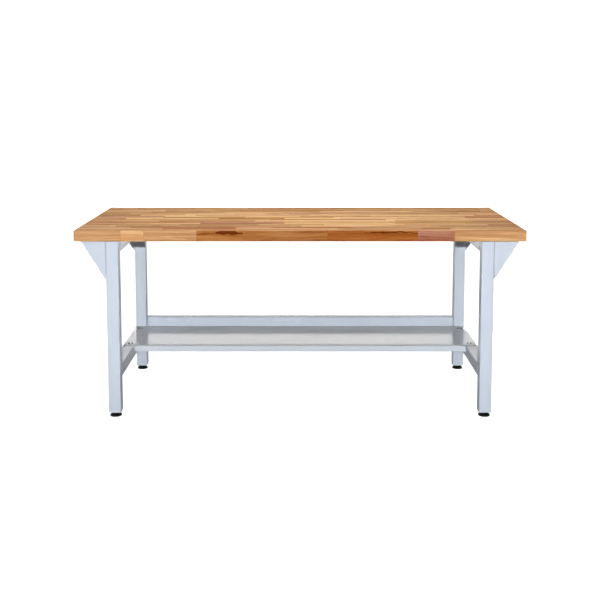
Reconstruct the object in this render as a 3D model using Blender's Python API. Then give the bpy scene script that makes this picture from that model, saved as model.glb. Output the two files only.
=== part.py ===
"""Butcher block workbench: a glued hardwood top on a welded and bolted steel frame.

Each sub-part is one closed solid. Lengths are in metres and +Z is up. The origin is on the
floor under the middle of the bench, +X runs along the bench and the front faces -Y.
"""
import math

import bmesh
import bpy
from mathutils import Vector

# Overall size
TOP_LENGTH = 1.8288
TOP_DEPTH = 0.7620
TOP_THICKNESS = 0.04445
OVERALL_HEIGHT = 0.78105
TOP_ARRIS = 0.0012

# Frame: two end frames of square tube
TUBE_SIZE = 0.0508
TUBE_WALL = 0.0020
TUBE_CORNER_RADIUS = 0.0040
FRAME_HALF_LENGTH = 0.7900
FRAME_HALF_DEPTH = 0.3620
LEG_BOTTOM = 0.0190

# Folded sheet members
SHEET = 0.0020
BEND_RADIUS = 0.0035
BEND_STEPS = 3

# Gussets that carry the ends of the top
GUSSET_REACH = 0.0990
GUSSET_DROP = 0.1550
GUSSET_TIP = 0.0040
GUSSET_WIDTH = 0.0492
GUSSET_SCREW_X = 0.0550
GUSSET_ACCESS_RADIUS = 0.0100

# Lower shelf
SHELF_TOP = 0.2150
SHELF_SHEET = 0.0015
SHELF_DEPTH = 0.3550
SHELF_LIP = 0.0280
SHELF_HEM = 0.0120
SHELF_HALF_LENGTH = 0.7870
SHELF_LIP_HALF_LENGTH = 0.7365
SHELF_SCREW_X = (0.7525, 0.7665)
SHELF_SCREW_INSET_FRONT = 0.0380
SHELF_SCREW_INSET_REAR = 0.0500

# Rear stringer
STRINGER_TOP = 0.2575
STRINGER_HEIGHT = 0.0508
STRINGER_DEPTH = 0.0440
STRINGER_SETBACK = 0.0020
STRINGER_PLATE_PROUD = 0.0005
STRINGER_BOLT_OFFSET = 0.0130

# Feet: a pad that swivels on a threaded stud
PAD_RADIUS = 0.0245
PAD_FLANGE = 0.0055
PAD_SHOULDER_RADIUS = 0.0205
PAD_HUB_RADIUS = 0.0190
PAD_HEIGHT = 0.0185
PAD_BORE_FLOOR = 0.0040
STUD_RADIUS = 0.0050
STUD_TOP = 0.0720
INSERT_HEIGHT = 0.0250

# Fasteners
RAIL_SCREW_Y = 0.1500
LAG_RADIUS = 0.0030
LAG_LENGTH = 0.0320
LAG_HEAD = (0.0110, 0.0045)
PILOT_DEPTH = 0.0350
SHELF_SCREW_RADIUS = 0.0024
SHELF_SCREW_LENGTH = 0.0140
SHELF_SCREW_HEAD_RADIUS = 0.0045
SHELF_SCREW_HEAD = 0.0028
BOLT_RADIUS = 0.0030
BOLT_LENGTH = 0.0200
BOLT_HEAD = (0.0100, 0.0040)
RIVET_NUT_RADIUS = 0.0050
RIVET_NUT_FLANGE = (0.0075, 0.0010)
RIVET_NUT_LENGTH = 0.0130

# Clearance left between neighbouring solids, and the sides given to round shapes
GAP = 0.0003
ROUND = 24
SMALL_ROUND = 12

# Places worked out from the driving dimensions
UNDERSIDE = OVERALL_HEIGHT - TOP_THICKNESS
LEG_X = FRAME_HALF_LENGTH - TUBE_SIZE / 2
LEG_Y = FRAME_HALF_DEPTH - TUBE_SIZE / 2
RAIL_HALF_LENGTH = FRAME_HALF_DEPTH - TUBE_SIZE - GAP
LEG_INNER_X = FRAME_HALF_LENGTH - TUBE_SIZE
UPPER_RAIL_TOP = UNDERSIDE - GAP
LOWER_RAIL_TOP = SHELF_TOP - SHELF_SHEET - GAP
SHELF_REAR = RAIL_HALF_LENGTH
SHELF_FRONT = SHELF_REAR - SHELF_DEPTH
STRINGER_HALF_LENGTH = LEG_INNER_X - RIVET_NUT_FLANGE[1] - 2 * GAP
SIDES = {"left": -1, "right": 1}
ENDS = {"front": -1, "rear": 1}


def clear_scene():
    """Take away whatever the scene holds."""
    for item in list(bpy.data.objects):
        bpy.data.objects.remove(item, do_unlink=True)


# Outlines

def rounded_rectangle(width, depth, radius, steps):
    """Outline of a rectangle with arcs at its corners, anticlockwise."""
    points = []
    centres = ((1, 1), (-1, 1), (-1, -1), (1, -1))
    for quarter, (sx, sy) in enumerate(centres):
        for step in range(steps + 1):
            angle = math.pi / 2 * (quarter + step / steps)
            x = sx * (width / 2 - radius) + radius * math.cos(angle)
            y = sy * (depth / 2 - radius) + radius * math.sin(angle)
            points.append((x, y))
    return points


def circle(radius, count=ROUND):
    """Outline of a circle."""
    turn = 2 * math.pi / count
    return [(radius * math.cos(i * turn), radius * math.sin(i * turn)) for i in range(count)]


def hexagon(across_flats, count=SMALL_ROUND):
    """Outline of a hexagon with points at its corners and along its sides."""
    points = []
    for i in range(count):
        angle = 2 * math.pi * i / count
        from_flat = (angle % (math.pi / 3)) - math.pi / 6
        radius = across_flats / 2 / math.cos(from_flat)
        points.append((radius * math.cos(angle), radius * math.sin(angle)))
    return points


def folded_sheet(path, thickness, radius=BEND_RADIUS, steps=BEND_STEPS):
    """Outline of a sheet bent along a path of its middle line, with rounded bends."""
    corners = [Vector(point) for point in path]
    first = (corners[1] - corners[0]).normalized()
    last = (corners[-1] - corners[-2]).normalized()
    stations = [(corners[0], Vector((-first.y, first.x)))]
    for before, corner, after in zip(corners, corners[1:], corners[2:]):
        back = (before - corner).normalized()
        ahead = (after - corner).normalized()
        half = back.angle(ahead) / 2
        centre = corner + (back + ahead).normalized() * radius / math.sin(half)
        arm = corner + back * radius / math.tan(half) - centre
        side = 1 if back.cross(ahead) < 0 else -1
        for step in range(steps + 1):
            angle = side * (math.pi - 2 * half) * step / steps
            turned = Vector((arm.x * math.cos(angle) - arm.y * math.sin(angle),
                             arm.x * math.sin(angle) + arm.y * math.cos(angle)))
            stations.append((centre + turned, -side * turned.normalized()))
    stations.append((corners[-1], Vector((-last.y, last.x))))
    left = [tuple(point + normal * thickness / 2) for point, normal in stations]
    right = [tuple(point - normal * thickness / 2) for point, normal in stations]
    return left + right[::-1]


# Meshes

def finished_mesh(name, bm):
    """Turn a bmesh into a mesh with its faces pointing out and its round sides smooth."""
    bmesh.ops.recalc_face_normals(bm, faces=bm.faces)
    mesh = bpy.data.meshes.new(name)
    bm.to_mesh(mesh)
    bm.free()
    mesh.shade_smooth()
    mesh.set_sharp_from_angle(angle=math.radians(31))
    return mesh


def loft(name, levels, closed=False):
    """Join outlines of equal count, each at its height, and cap or close the stack."""
    bm = bmesh.new()
    rings = [[bm.verts.new((x, y, z)) for x, y in outline] for outline, z in levels]
    count = len(rings[0])
    pairs = list(zip(rings, rings[1:]))
    if closed:
        pairs.append((rings[-1], rings[0]))
    else:
        bm.faces.new(rings[0])
        bm.faces.new(rings[-1])
    for low, high in pairs:
        for i in range(count):
            j = (i + 1) % count
            bm.faces.new((low[i], low[j], high[j], high[i]))
    return finished_mesh(name, bm)


def extruded(name, outline, axis, start, end):
    """Push an outline from start to end along an axis.

    The outline is (Y, Z) along X, (X, Z) along Y and (X, Y) along Z.
    """
    places = {"X": lambda u, v, w: (w, u, v),
              "Y": lambda u, v, w: (u, w, v),
              "Z": lambda u, v, w: (u, v, w)}
    place = places[axis]
    bm = bmesh.new()
    rim = bm.faces.new([bm.verts.new(place(u, v, start)) for u, v in outline])
    grown = bmesh.ops.extrude_face_region(bm, geom=[rim])["geom"]
    verts = [item for item in grown if isinstance(item, bmesh.types.BMVert)]
    bmesh.ops.translate(bm, verts=verts, vec=Vector(place(0, 0, end - start)))
    return finished_mesh(name, bm)


def block(name, low, high):
    """A rectangular block between two corners."""
    rectangle = ((low[0], low[1]), (high[0], low[1]), (high[0], high[1]), (low[0], high[1]))
    return extruded(name, rectangle, "Z", low[2], high[2])


def drill(radius, axis, place, start, end):
    """A round cutter along X or Z whose axis goes through a point (the other two coordinates)."""
    outline = [(place[0] + u, place[1] + v) for u, v in circle(radius, SMALL_ROUND)]
    return extruded("drill", outline, axis, start, end)


def combined(mesh, tools, operation="DIFFERENCE"):
    """Cut the tool meshes from a mesh, or unite them with it."""
    name = mesh.name
    blank = bpy.data.objects.new("blank", mesh)
    bpy.context.scene.collection.objects.link(blank)
    helpers = []
    for tool in tools:
        helper = bpy.data.objects.new("helper", tool)
        helper.hide_render = True
        helper.display_type = "WIRE"
        bpy.context.scene.collection.objects.link(helper)
        helpers.append(helper)
        modifier = blank.modifiers.new("combine", "BOOLEAN")
        modifier.solver = "EXACT"
        modifier.operation = operation
        modifier.object = helper
    evaluated = blank.evaluated_get(bpy.context.evaluated_depsgraph_get())
    result = bpy.data.meshes.new_from_object(evaluated)
    for item in [blank] + helpers:
        bpy.data.objects.remove(item, do_unlink=True)
    result.name = name
    return result


# Materials

def principled(name, colour, roughness, metallic=0.0):
    """A plain Principled material."""
    material = bpy.data.materials.new(name)
    material.use_nodes = True
    shader = material.node_tree.nodes["Principled BSDF"]
    shader.inputs["Base Color"].default_value = (*colour, 1.0)
    shader.inputs["Roughness"].default_value = roughness
    shader.inputs["Metallic"].default_value = metallic
    material.diffuse_color = (*colour, 1.0)
    return material


def make_materials():
    """One material for each kind of sub-part."""
    powder_coat = (0.62, 0.67, 0.75)
    zinc = (0.60, 0.61, 0.62)
    return {
        "top": principled("butcher_block", (0.55, 0.30, 0.14), 0.38),
        "leg": principled("leg_powder_coat", powder_coat, 0.35),
        "gusset": principled("gusset_powder_coat", powder_coat, 0.35),
        "upper_rail": principled("upper_rail_powder_coat", powder_coat, 0.35),
        "lower_rail": principled("lower_rail_powder_coat", powder_coat, 0.35),
        "shelf": principled("shelf_powder_coat", (0.58, 0.62, 0.66), 0.25),
        "stringer": principled("stringer_powder_coat", powder_coat, 0.35),
        "insert": principled("insert_nylon", (0.03, 0.03, 0.03), 0.55),
        "stud": principled("stud_zinc", zinc, 0.30, 1.0),
        "pad": principled("pad_nylon", (0.012, 0.012, 0.013), 0.45),
        "shelf_screw": principled("shelf_screw_black_oxide", (0.05, 0.05, 0.055), 0.40, 1.0),
        "lag_screw": principled("lag_screw_zinc", zinc, 0.35, 1.0),
        "bolt": principled("bolt_zinc", zinc, 0.35, 1.0),
        "rivet_nut": principled("rivet_nut_zinc", zinc, 0.40, 1.0),
    }


# Sub-part shapes

def top_mesh(screw_places):
    """Hardwood slab with eased arrises and a pilot hole for each lag screw."""
    half = (TOP_LENGTH / 2, TOP_DEPTH / 2)
    slab = bmesh.new()
    slab.from_mesh(block("slab", (-half[0], -half[1], UNDERSIDE), (half[0], half[1], OVERALL_HEIGHT)))
    bmesh.ops.bevel(slab, geom=slab.edges[:], offset=TOP_ARRIS, segments=1, affect="EDGES")
    mesh = finished_mesh("butcher_block_top", slab)
    below = UNDERSIDE - 0.01
    holes = [drill(LAG_RADIUS + GAP, "Z", place, below, UNDERSIDE + PILOT_DEPTH)
             for place in screw_places]
    return combined(mesh, holes)


def tube_mesh(name, bottom, top):
    """Upright square tube, open at both ends."""
    outer = rounded_rectangle(TUBE_SIZE, TUBE_SIZE, TUBE_CORNER_RADIUS, BEND_STEPS)
    bore = TUBE_SIZE - 2 * TUBE_WALL
    inner = rounded_rectangle(bore, bore, TUBE_CORNER_RADIUS - TUBE_WALL, BEND_STEPS)
    levels = ((outer, bottom), (outer, top), (inner, top), (inner, bottom))
    return loft(name, levels, closed=True)


def front_leg_mesh():
    """Leg with no holes."""
    return tube_mesh("front_leg", LEG_BOTTOM, UNDERSIDE - GAP)


def rear_leg_mesh():
    """Leg with two rivet nut holes in its inner side, which faces -X here."""
    middle = STRINGER_TOP - STRINGER_HEIGHT / 2
    holes = [drill(RIVET_NUT_RADIUS + GAP, "X", (0, middle + side * STRINGER_BOLT_OFFSET),
                   -TUBE_SIZE, 0)
             for side in (-1, 1)]
    leg = combined(tube_mesh("rear_leg", LEG_BOTTOM, UNDERSIDE - GAP), holes)
    return leg


def gusset_mesh():
    """Folded wedge that reaches out from the leg, open to the leg; x = 0 is at the leg."""
    reach, drop, tip = GUSSET_REACH, GUSSET_DROP, GUSSET_TIP
    outline = ((0, 0), (reach, 0), (reach, -tip), (tip, -drop), (0, -drop))
    half = GUSSET_WIDTH / 2
    shell = bmesh.new()
    shell.from_mesh(extruded("wedge", outline, "Y", -half, half))
    slope = Vector((reach - tip, 0, drop - tip)).normalized()
    folds = [edge for edge in shell.edges
             if abs((edge.verts[1].co - edge.verts[0].co).normalized().dot(slope)) > 0.999]
    bmesh.ops.bevel(shell, geom=folds, offset=BEND_RADIUS, segments=BEND_STEPS, affect="EDGES")
    across = Vector((-slope.z, 0, slope.x)) * SHEET
    far = Vector((reach, 0, -tip)) + across
    near = Vector((tip, 0, -drop)) + across
    rise = (far.z - near.z) / (far.x - near.x)
    roof = -SHEET
    inside_edge = far.x + (roof - far.z) / rise
    floor = -drop + SHEET
    floor_edge = near.x + (floor - near.z) / rise
    hollow = ((-SHEET, roof), (inside_edge, roof), (floor_edge, floor), (-SHEET, floor))
    tools = [extruded("hollow", hollow, "Y", SHEET - half, half - SHEET),
             drill(LAG_RADIUS + GAP, "Z", (GUSSET_SCREW_X, 0), -2 * SHEET, SHEET),
             drill(GUSSET_ACCESS_RADIUS, "Z", (GUSSET_SCREW_X, 0), -drop, -8 * SHEET)]
    return combined(finished_mesh("gusset", shell), tools)


def rail_mesh(name, top, holes):
    """Folded channel that is open below, along Y, with holes through its web."""
    edge = TUBE_SIZE / 2 - SHEET / 2
    web = top - SHEET / 2
    path = ((-edge, top - TUBE_SIZE), (-edge, web), (edge, web), (edge, top - TUBE_SIZE))
    channel = extruded(name, folded_sheet(path, SHEET), "Y", -RAIL_HALF_LENGTH, RAIL_HALF_LENGTH)
    tools = [drill(radius, "Z", place, top - 2 * SHEET, top + SHEET) for radius, place in holes]
    return combined(channel, tools)


def upper_rail_mesh():
    """Rail under the top, with two lag screw holes."""
    holes = [(LAG_RADIUS + GAP, (0, side * RAIL_SCREW_Y)) for side in (-1, 1)]
    return rail_mesh("upper_end_rail", UPPER_RAIL_TOP, holes)


def lower_rail_mesh():
    """Rail under the shelf of the right-hand end, with four shelf screw holes."""
    holes = [(SHELF_SCREW_RADIUS + GAP, (x - LEG_X, y))
             for x in SHELF_SCREW_X for y in shelf_screw_rows().values()]
    return rail_mesh("lower_end_rail", LOWER_RAIL_TOP, holes)


def shelf_screw_rows():
    """Places of the front and rear pairs of shelf screws along Y."""
    return {"front": SHELF_FRONT + SHELF_SCREW_INSET_FRONT,
            "rear": SHELF_REAR - SHELF_SCREW_INSET_REAR}


def shelf_mesh():
    """Sheet shelf with hemmed lips between the rails and flat ends that lie on the rails."""
    half_sheet = SHELF_SHEET / 2
    front = SHELF_FRONT + half_sheet
    rear = SHELF_REAR - half_sheet
    plate = SHELF_TOP - half_sheet
    foot = SHELF_TOP - SHELF_LIP + half_sheet
    path = ((front + SHELF_HEM, foot), (front, foot), (front, plate),
            (rear, plate), (rear, foot), (rear - SHELF_HEM, foot))
    outline = folded_sheet(path, SHELF_SHEET, radius=0.0025)
    sheet = extruded("lower_shelf", outline, "X", -SHELF_HALF_LENGTH, SHELF_HALF_LENGTH)
    underside = SHELF_TOP - SHELF_SHEET
    reach = SHELF_HEM + 0.01
    tools = []
    for side in SIDES.values():
        start, end = sorted((side * SHELF_LIP_HALF_LENGTH, side * (SHELF_HALF_LENGTH + 0.01)))
        for y in (SHELF_FRONT, SHELF_REAR):
            tools.append(block("notch", (start, y - reach, foot - 0.01), (end, y + reach, underside)))
        for x in SHELF_SCREW_X:
            for y in shelf_screw_rows().values():
                tools.append(drill(SHELF_SCREW_RADIUS + GAP, "Z", (side * x, y),
                                   underside - SHEET, SHELF_TOP + SHEET))
    return combined(sheet, tools)


def stringer_mesh():
    """Channel that is open to the rear, with a drilled plate welded into each end."""
    front = FRAME_HALF_DEPTH - TUBE_SIZE + STRINGER_SETBACK
    web = front + SHEET / 2
    back = front + STRINGER_DEPTH
    low = STRINGER_TOP - STRINGER_HEIGHT + SHEET / 2
    high = STRINGER_TOP - SHEET / 2
    path = ((back, low), (web, low), (web, high), (back, high))
    ends = STRINGER_HALF_LENGTH - STRINGER_PLATE_PROUD
    channel = extruded("rear_stringer", folded_sheet(path, SHEET), "X", -ends, ends)
    plates = []
    holes = []
    middle = STRINGER_TOP - STRINGER_HEIGHT / 2
    for side in SIDES.values():
        start, end = sorted((side * (STRINGER_HALF_LENGTH - SHEET), side * STRINGER_HALF_LENGTH))
        plates.append(block("plate", (start, web, low), (end, back - SHEET, high)))
        for offset in (-STRINGER_BOLT_OFFSET, STRINGER_BOLT_OFFSET):
            holes.append(drill(BOLT_RADIUS + GAP, "X", (LEG_Y, middle + offset),
                               start - SHEET, end + SHEET))
    return combined(combined(channel, plates, "UNION"), holes)


def insert_mesh():
    """Square plug with a bore for the stud, pressed into the foot of a leg."""
    size = TUBE_SIZE - 2 * TUBE_WALL - 2 * GAP
    outline = rounded_rectangle(size, size, TUBE_CORNER_RADIUS - TUBE_WALL, BEND_STEPS)
    top = LEG_BOTTOM + INSERT_HEIGHT
    plug = extruded("leg_insert", outline, "Z", LEG_BOTTOM, top)
    return combined(plug, [drill(STUD_RADIUS + GAP, "Z", (0, 0), 0, STUD_TOP)])


def stud_mesh():
    """Levelling stud with chamfered ends, standing in the pad's socket."""
    chamfer = 0.0010
    bottom = PAD_BORE_FLOOR + GAP
    levels = ((circle(STUD_RADIUS - chamfer), bottom), (circle(STUD_RADIUS), bottom + chamfer),
              (circle(STUD_RADIUS), STUD_TOP - chamfer), (circle(STUD_RADIUS - chamfer), STUD_TOP))
    return loft("foot_stud", levels)


def pad_mesh():
    """Moulded pad: a flange on the floor, a tapered hub and a blind socket for the stud."""
    softening = 0.0010
    profile = ((PAD_RADIUS - softening, 0), (PAD_RADIUS, softening),
               (PAD_RADIUS, PAD_FLANGE - softening), (PAD_RADIUS - softening, PAD_FLANGE),
               (PAD_SHOULDER_RADIUS, PAD_FLANGE), (PAD_HUB_RADIUS, PAD_HEIGHT - softening),
               (PAD_HUB_RADIUS - softening, PAD_HEIGHT), (STUD_RADIUS + GAP, PAD_HEIGHT),
               (STUD_RADIUS + GAP, PAD_BORE_FLOOR))
    return loft("foot_pad", [(circle(radius), z) for radius, z in profile])


def hex_screw_mesh(name, head, radius, length):
    """Hexagon head below z = 0 with a round shank above it."""
    across_flats, thickness = head
    levels = ((hexagon(across_flats), -thickness), (hexagon(across_flats), 0),
              (circle(radius, SMALL_ROUND), 0), (circle(radius, SMALL_ROUND), length))
    return loft(name, levels)


def shelf_screw_mesh():
    """Pan head above z = 0 with a round shank below it."""
    rim = SHELF_SCREW_HEAD_RADIUS
    shank = circle(SHELF_SCREW_RADIUS, SMALL_ROUND)
    levels = ((shank, -SHELF_SCREW_LENGTH), (shank, 0), (circle(rim, SMALL_ROUND), 0),
              (circle(rim, SMALL_ROUND), SHELF_SCREW_HEAD * 0.5),
              (circle(rim * 0.8, SMALL_ROUND), SHELF_SCREW_HEAD))
    return loft("shelf_screw", levels)


def rivet_nut_mesh():
    """Threaded insert: a flange below z = 0 and a barrel above it, bored through."""
    flange_radius, flange = RIVET_NUT_FLANGE
    bore = circle(BOLT_RADIUS + GAP, SMALL_ROUND)
    rim = circle(flange_radius, SMALL_ROUND)
    barrel = circle(RIVET_NUT_RADIUS, SMALL_ROUND)
    levels = ((rim, -flange), (rim, 0), (barrel, 0), (barrel, RIVET_NUT_LENGTH),
              (bore, RIVET_NUT_LENGTH), (bore, -flange))
    return loft("rivet_nut", levels, closed=True)


# Placing

class Bench:
    """The bench's parent empty, its materials and its placed sub-parts."""

    def __init__(self):
        self.materials = make_materials()
        self.root = bpy.data.objects.new("workbench", None)
        bpy.context.scene.collection.objects.link(self.root)

    def place(self, name, mesh, kind, location=(0, 0, 0), rotation=(0, 0, 0)):
        """Add one sub-part with its material."""
        if not mesh.materials:
            mesh.materials.append(self.materials[kind])
        item = bpy.data.objects.new(name, mesh)
        item.location = location
        item.rotation_euler = rotation
        item.parent = self.root
        bpy.context.scene.collection.objects.link(item)


def turned(side):
    """Half a turn about Z for the left-hand end."""
    return (0, 0, 0) if side > 0 else (0, 0, math.pi)


def screw_places():
    """Plan places of the lag screws by name."""
    places = {}
    for side_name, side in SIDES.items():
        for end_name, end in ENDS.items():
            gusset_x = FRAME_HALF_LENGTH + GAP + GUSSET_SCREW_X
            places[f"gusset_screw_{end_name}_{side_name}"] = (side * gusset_x, end * LEG_Y)
            places[f"rail_screw_{end_name}_{side_name}"] = (side * LEG_X, end * RAIL_SCREW_Y)
    return places


def add_legs_and_gussets(bench):
    """The four legs with their gussets."""
    legs = {"front": front_leg_mesh(), "rear": rear_leg_mesh()}
    gusset = gusset_mesh()
    for side_name, side in SIDES.items():
        for end_name, end in ENDS.items():
            corner = f"{end_name}_{side_name}"
            bench.place(f"leg_{corner}", legs[end_name], "leg",
                        (side * LEG_X, end * LEG_Y, 0), turned(side))
            place = (side * (FRAME_HALF_LENGTH + GAP), end * LEG_Y, UNDERSIDE - GAP)
            bench.place(f"gusset_{corner}", gusset, "gusset", place, turned(side))


def add_rails(bench):
    """Upper and lower rails of each end frame."""
    bench_right = lower_rail_mesh()
    bench_left = bench_right.copy()
    for vertex in bench_left.vertices:
        vertex.co.x = -vertex.co.x
    bench_left.flip_normals()
    lower = {"left": bench_left, "right": bench_right}
    upper = upper_rail_mesh()
    for side_name, side in SIDES.items():
        bench.place(f"upper_end_rail_{side_name}", upper, "upper_rail", (side * LEG_X, 0, 0))
        bench.place(f"lower_end_rail_{side_name}", lower[side_name], "lower_rail",
                    (side * LEG_X, 0, 0))


def add_feet(bench):
    """Insert, stud and pad under each leg, each with its origin on the stud's axis."""
    insert, stud, pad = insert_mesh(), stud_mesh(), pad_mesh()
    for side_name, side in SIDES.items():
        for end_name, end in ENDS.items():
            corner = f"{end_name}_{side_name}"
            place = (side * LEG_X, end * LEG_Y, 0)
            bench.place(f"leg_insert_{corner}", insert, "insert", place)
            bench.place(f"foot_stud_{corner}", stud, "stud", place)
            bench.place(f"foot_pad_{corner}", pad, "pad", place)


def add_shelf_screws(bench):
    """A pair of screws at each corner of the shelf."""
    screw = shelf_screw_mesh()
    for side_name, side in SIDES.items():
        for end_name, y in shelf_screw_rows().items():
            for row_name, x in zip(("inner", "outer"), SHELF_SCREW_X):
                name = f"shelf_screw_{end_name}_{side_name}_{row_name}"
                bench.place(name, screw, "shelf_screw", (side * x, y, SHELF_TOP + GAP))


def add_lag_screws(bench):
    """Lag screws from below into the top, through the gussets and the upper rails."""
    screw = hex_screw_mesh("lag_screw", LAG_HEAD, LAG_RADIUS, LAG_LENGTH)
    seat = UNDERSIDE - GAP - SHEET - GAP
    for name, (x, y) in screw_places().items():
        bench.place(name, screw, "lag_screw", (x, y, seat))


def add_stringer_fasteners(bench):
    """Rivet nuts in the rear legs and the bolts that hold the stringer to them."""
    bolt = hex_screw_mesh("stringer_bolt", BOLT_HEAD, BOLT_RADIUS, BOLT_LENGTH)
    nut = rivet_nut_mesh()
    middle = STRINGER_TOP - STRINGER_HEIGHT / 2
    for side_name, side in SIDES.items():
        outward = (0, side * math.pi / 2, 0)
        for row_name, row in (("lower", -1), ("upper", 1)):
            z = middle + row * STRINGER_BOLT_OFFSET
            nut_x = side * (LEG_INNER_X - GAP)
            bolt_x = side * (STRINGER_HALF_LENGTH - SHEET - GAP)
            bench.place(f"rivet_nut_{side_name}_{row_name}", nut, "rivet_nut",
                        (nut_x, LEG_Y, z), outward)
            bench.place(f"stringer_bolt_{side_name}_{row_name}", bolt, "bolt",
                        (bolt_x, LEG_Y, z), outward)


def main():
    """Build the whole bench."""
    clear_scene()
    bench = Bench()
    bench.place("butcher_block_top", top_mesh(screw_places().values()), "top")
    add_legs_and_gussets(bench)
    add_rails(bench)
    bench.place("lower_shelf", shelf_mesh(), "shelf")
    bench.place("rear_stringer", stringer_mesh(), "stringer")
    add_feet(bench)
    add_shelf_screws(bench)
    add_lag_screws(bench)
    add_stringer_fasteners(bench)


main()
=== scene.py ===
"""Looks of a butcher block workbench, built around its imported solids.

A glued hardwood top lies on a powder-coated frame of square tube and folded sheet, with a
half-depth shelf, a rear stringer and four levelling feet. Every length is in metres, +X runs
along the bench, the front faces -Y and the pads stand at Z = 0.
"""

import logging
import math
import random
from dataclasses import dataclass, field
from enum import Enum
from typing import Callable, Dict, Iterable, List, Optional, Sequence, Tuple, Union

import bmesh
import bpy
from mathutils import Matrix, Vector


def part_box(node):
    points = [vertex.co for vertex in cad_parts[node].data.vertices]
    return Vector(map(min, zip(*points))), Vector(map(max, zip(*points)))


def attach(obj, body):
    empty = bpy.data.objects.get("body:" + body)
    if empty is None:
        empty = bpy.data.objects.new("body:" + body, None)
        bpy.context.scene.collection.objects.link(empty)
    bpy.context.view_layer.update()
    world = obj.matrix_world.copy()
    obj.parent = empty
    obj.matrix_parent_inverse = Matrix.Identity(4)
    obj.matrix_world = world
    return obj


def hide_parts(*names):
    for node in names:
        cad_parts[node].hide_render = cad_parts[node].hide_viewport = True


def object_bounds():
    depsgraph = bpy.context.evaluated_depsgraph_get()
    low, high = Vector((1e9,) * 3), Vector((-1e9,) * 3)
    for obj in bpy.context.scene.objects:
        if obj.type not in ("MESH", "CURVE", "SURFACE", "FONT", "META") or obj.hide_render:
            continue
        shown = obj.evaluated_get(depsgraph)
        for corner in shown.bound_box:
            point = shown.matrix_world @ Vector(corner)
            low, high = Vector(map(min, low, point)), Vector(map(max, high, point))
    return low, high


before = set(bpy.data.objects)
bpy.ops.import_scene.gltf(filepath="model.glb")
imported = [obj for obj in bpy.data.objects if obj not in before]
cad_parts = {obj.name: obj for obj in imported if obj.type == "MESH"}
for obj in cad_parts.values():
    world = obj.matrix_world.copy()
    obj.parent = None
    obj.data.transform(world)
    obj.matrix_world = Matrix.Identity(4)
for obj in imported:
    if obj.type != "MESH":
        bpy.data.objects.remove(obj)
CAD_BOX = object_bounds()
LOG = logging.getLogger("workbench")

Triple = Tuple[float, float, float]
Choice = Tuple[float, "Tone", float, float]
Rule = Callable[[object], bool]
Socket = bpy.types.NodeSocket
CLEAR = 0.005  # How far a cutter stands past what it cuts.
PARALLEL = 0.999  # Cosine above which an edge runs along a direction.
FACING = 0.99  # Cosine above which a face points along a direction.


# --------------------------------------------------------------------------------------
# Named choices
# --------------------------------------------------------------------------------------

class Axis(Enum):
    """An axis, by its place in a vector."""

    X = 0
    Y = 1
    Z = 2


class Pick(Enum):
    """What an edit picks."""

    EDGES = "EDGE"
    FACES = "FACE"


class Side(Enum):
    """An end of the bench, with its sign along X."""

    LEFT = -1
    RIGHT = 1

    @property
    def word(self) -> str:
        """The side's part of a node name."""
        return self.name.lower()


class Depth(Enum):
    """Front or rear of the bench, with its sign along Y."""

    FRONT = -1
    REAR = 1

    @property
    def word(self) -> str:
        """The depth's part of a node name."""
        return self.name.lower()


class Tone(Enum):
    """Colours of the hardwood staves, in sRGB."""

    PALE = (0.900, 0.755, 0.530)
    CREAM = (0.885, 0.722, 0.530)
    STRAW = (0.810, 0.635, 0.455)
    GOLD = (0.785, 0.620, 0.385)
    HONEY = (0.812, 0.635, 0.460)
    TAN = (0.750, 0.565, 0.375)
    OLIVE = (0.690, 0.535, 0.325)
    ROSE = (0.745, 0.545, 0.405)
    AMBER = (0.680, 0.455, 0.258)
    BROWN = (0.695, 0.465, 0.255)
    RUSSET = (0.680, 0.407, 0.188)
    MAROON = (0.680, 0.468, 0.385)


def corners() -> List[str]:
    """The words that the nodes at each corner of the bench end with."""
    return [f"{depth.word}_{side.word}" for depth in Depth for side in Side]


def nodes_named(*starts: str) -> List[str]:
    """CAD nodes whose names start with one of the given words."""
    return [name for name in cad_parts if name.startswith(starts)]


# --------------------------------------------------------------------------------------
# Modelling
# --------------------------------------------------------------------------------------

def only(piece: bpy.types.Object) -> None:
    """Selects one piece and makes it active.

    Args:
        piece: The piece to work on.
    """
    bpy.ops.object.select_all(action="DESELECT")
    piece.select_set(True)
    bpy.context.view_layer.objects.active = piece


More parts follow.
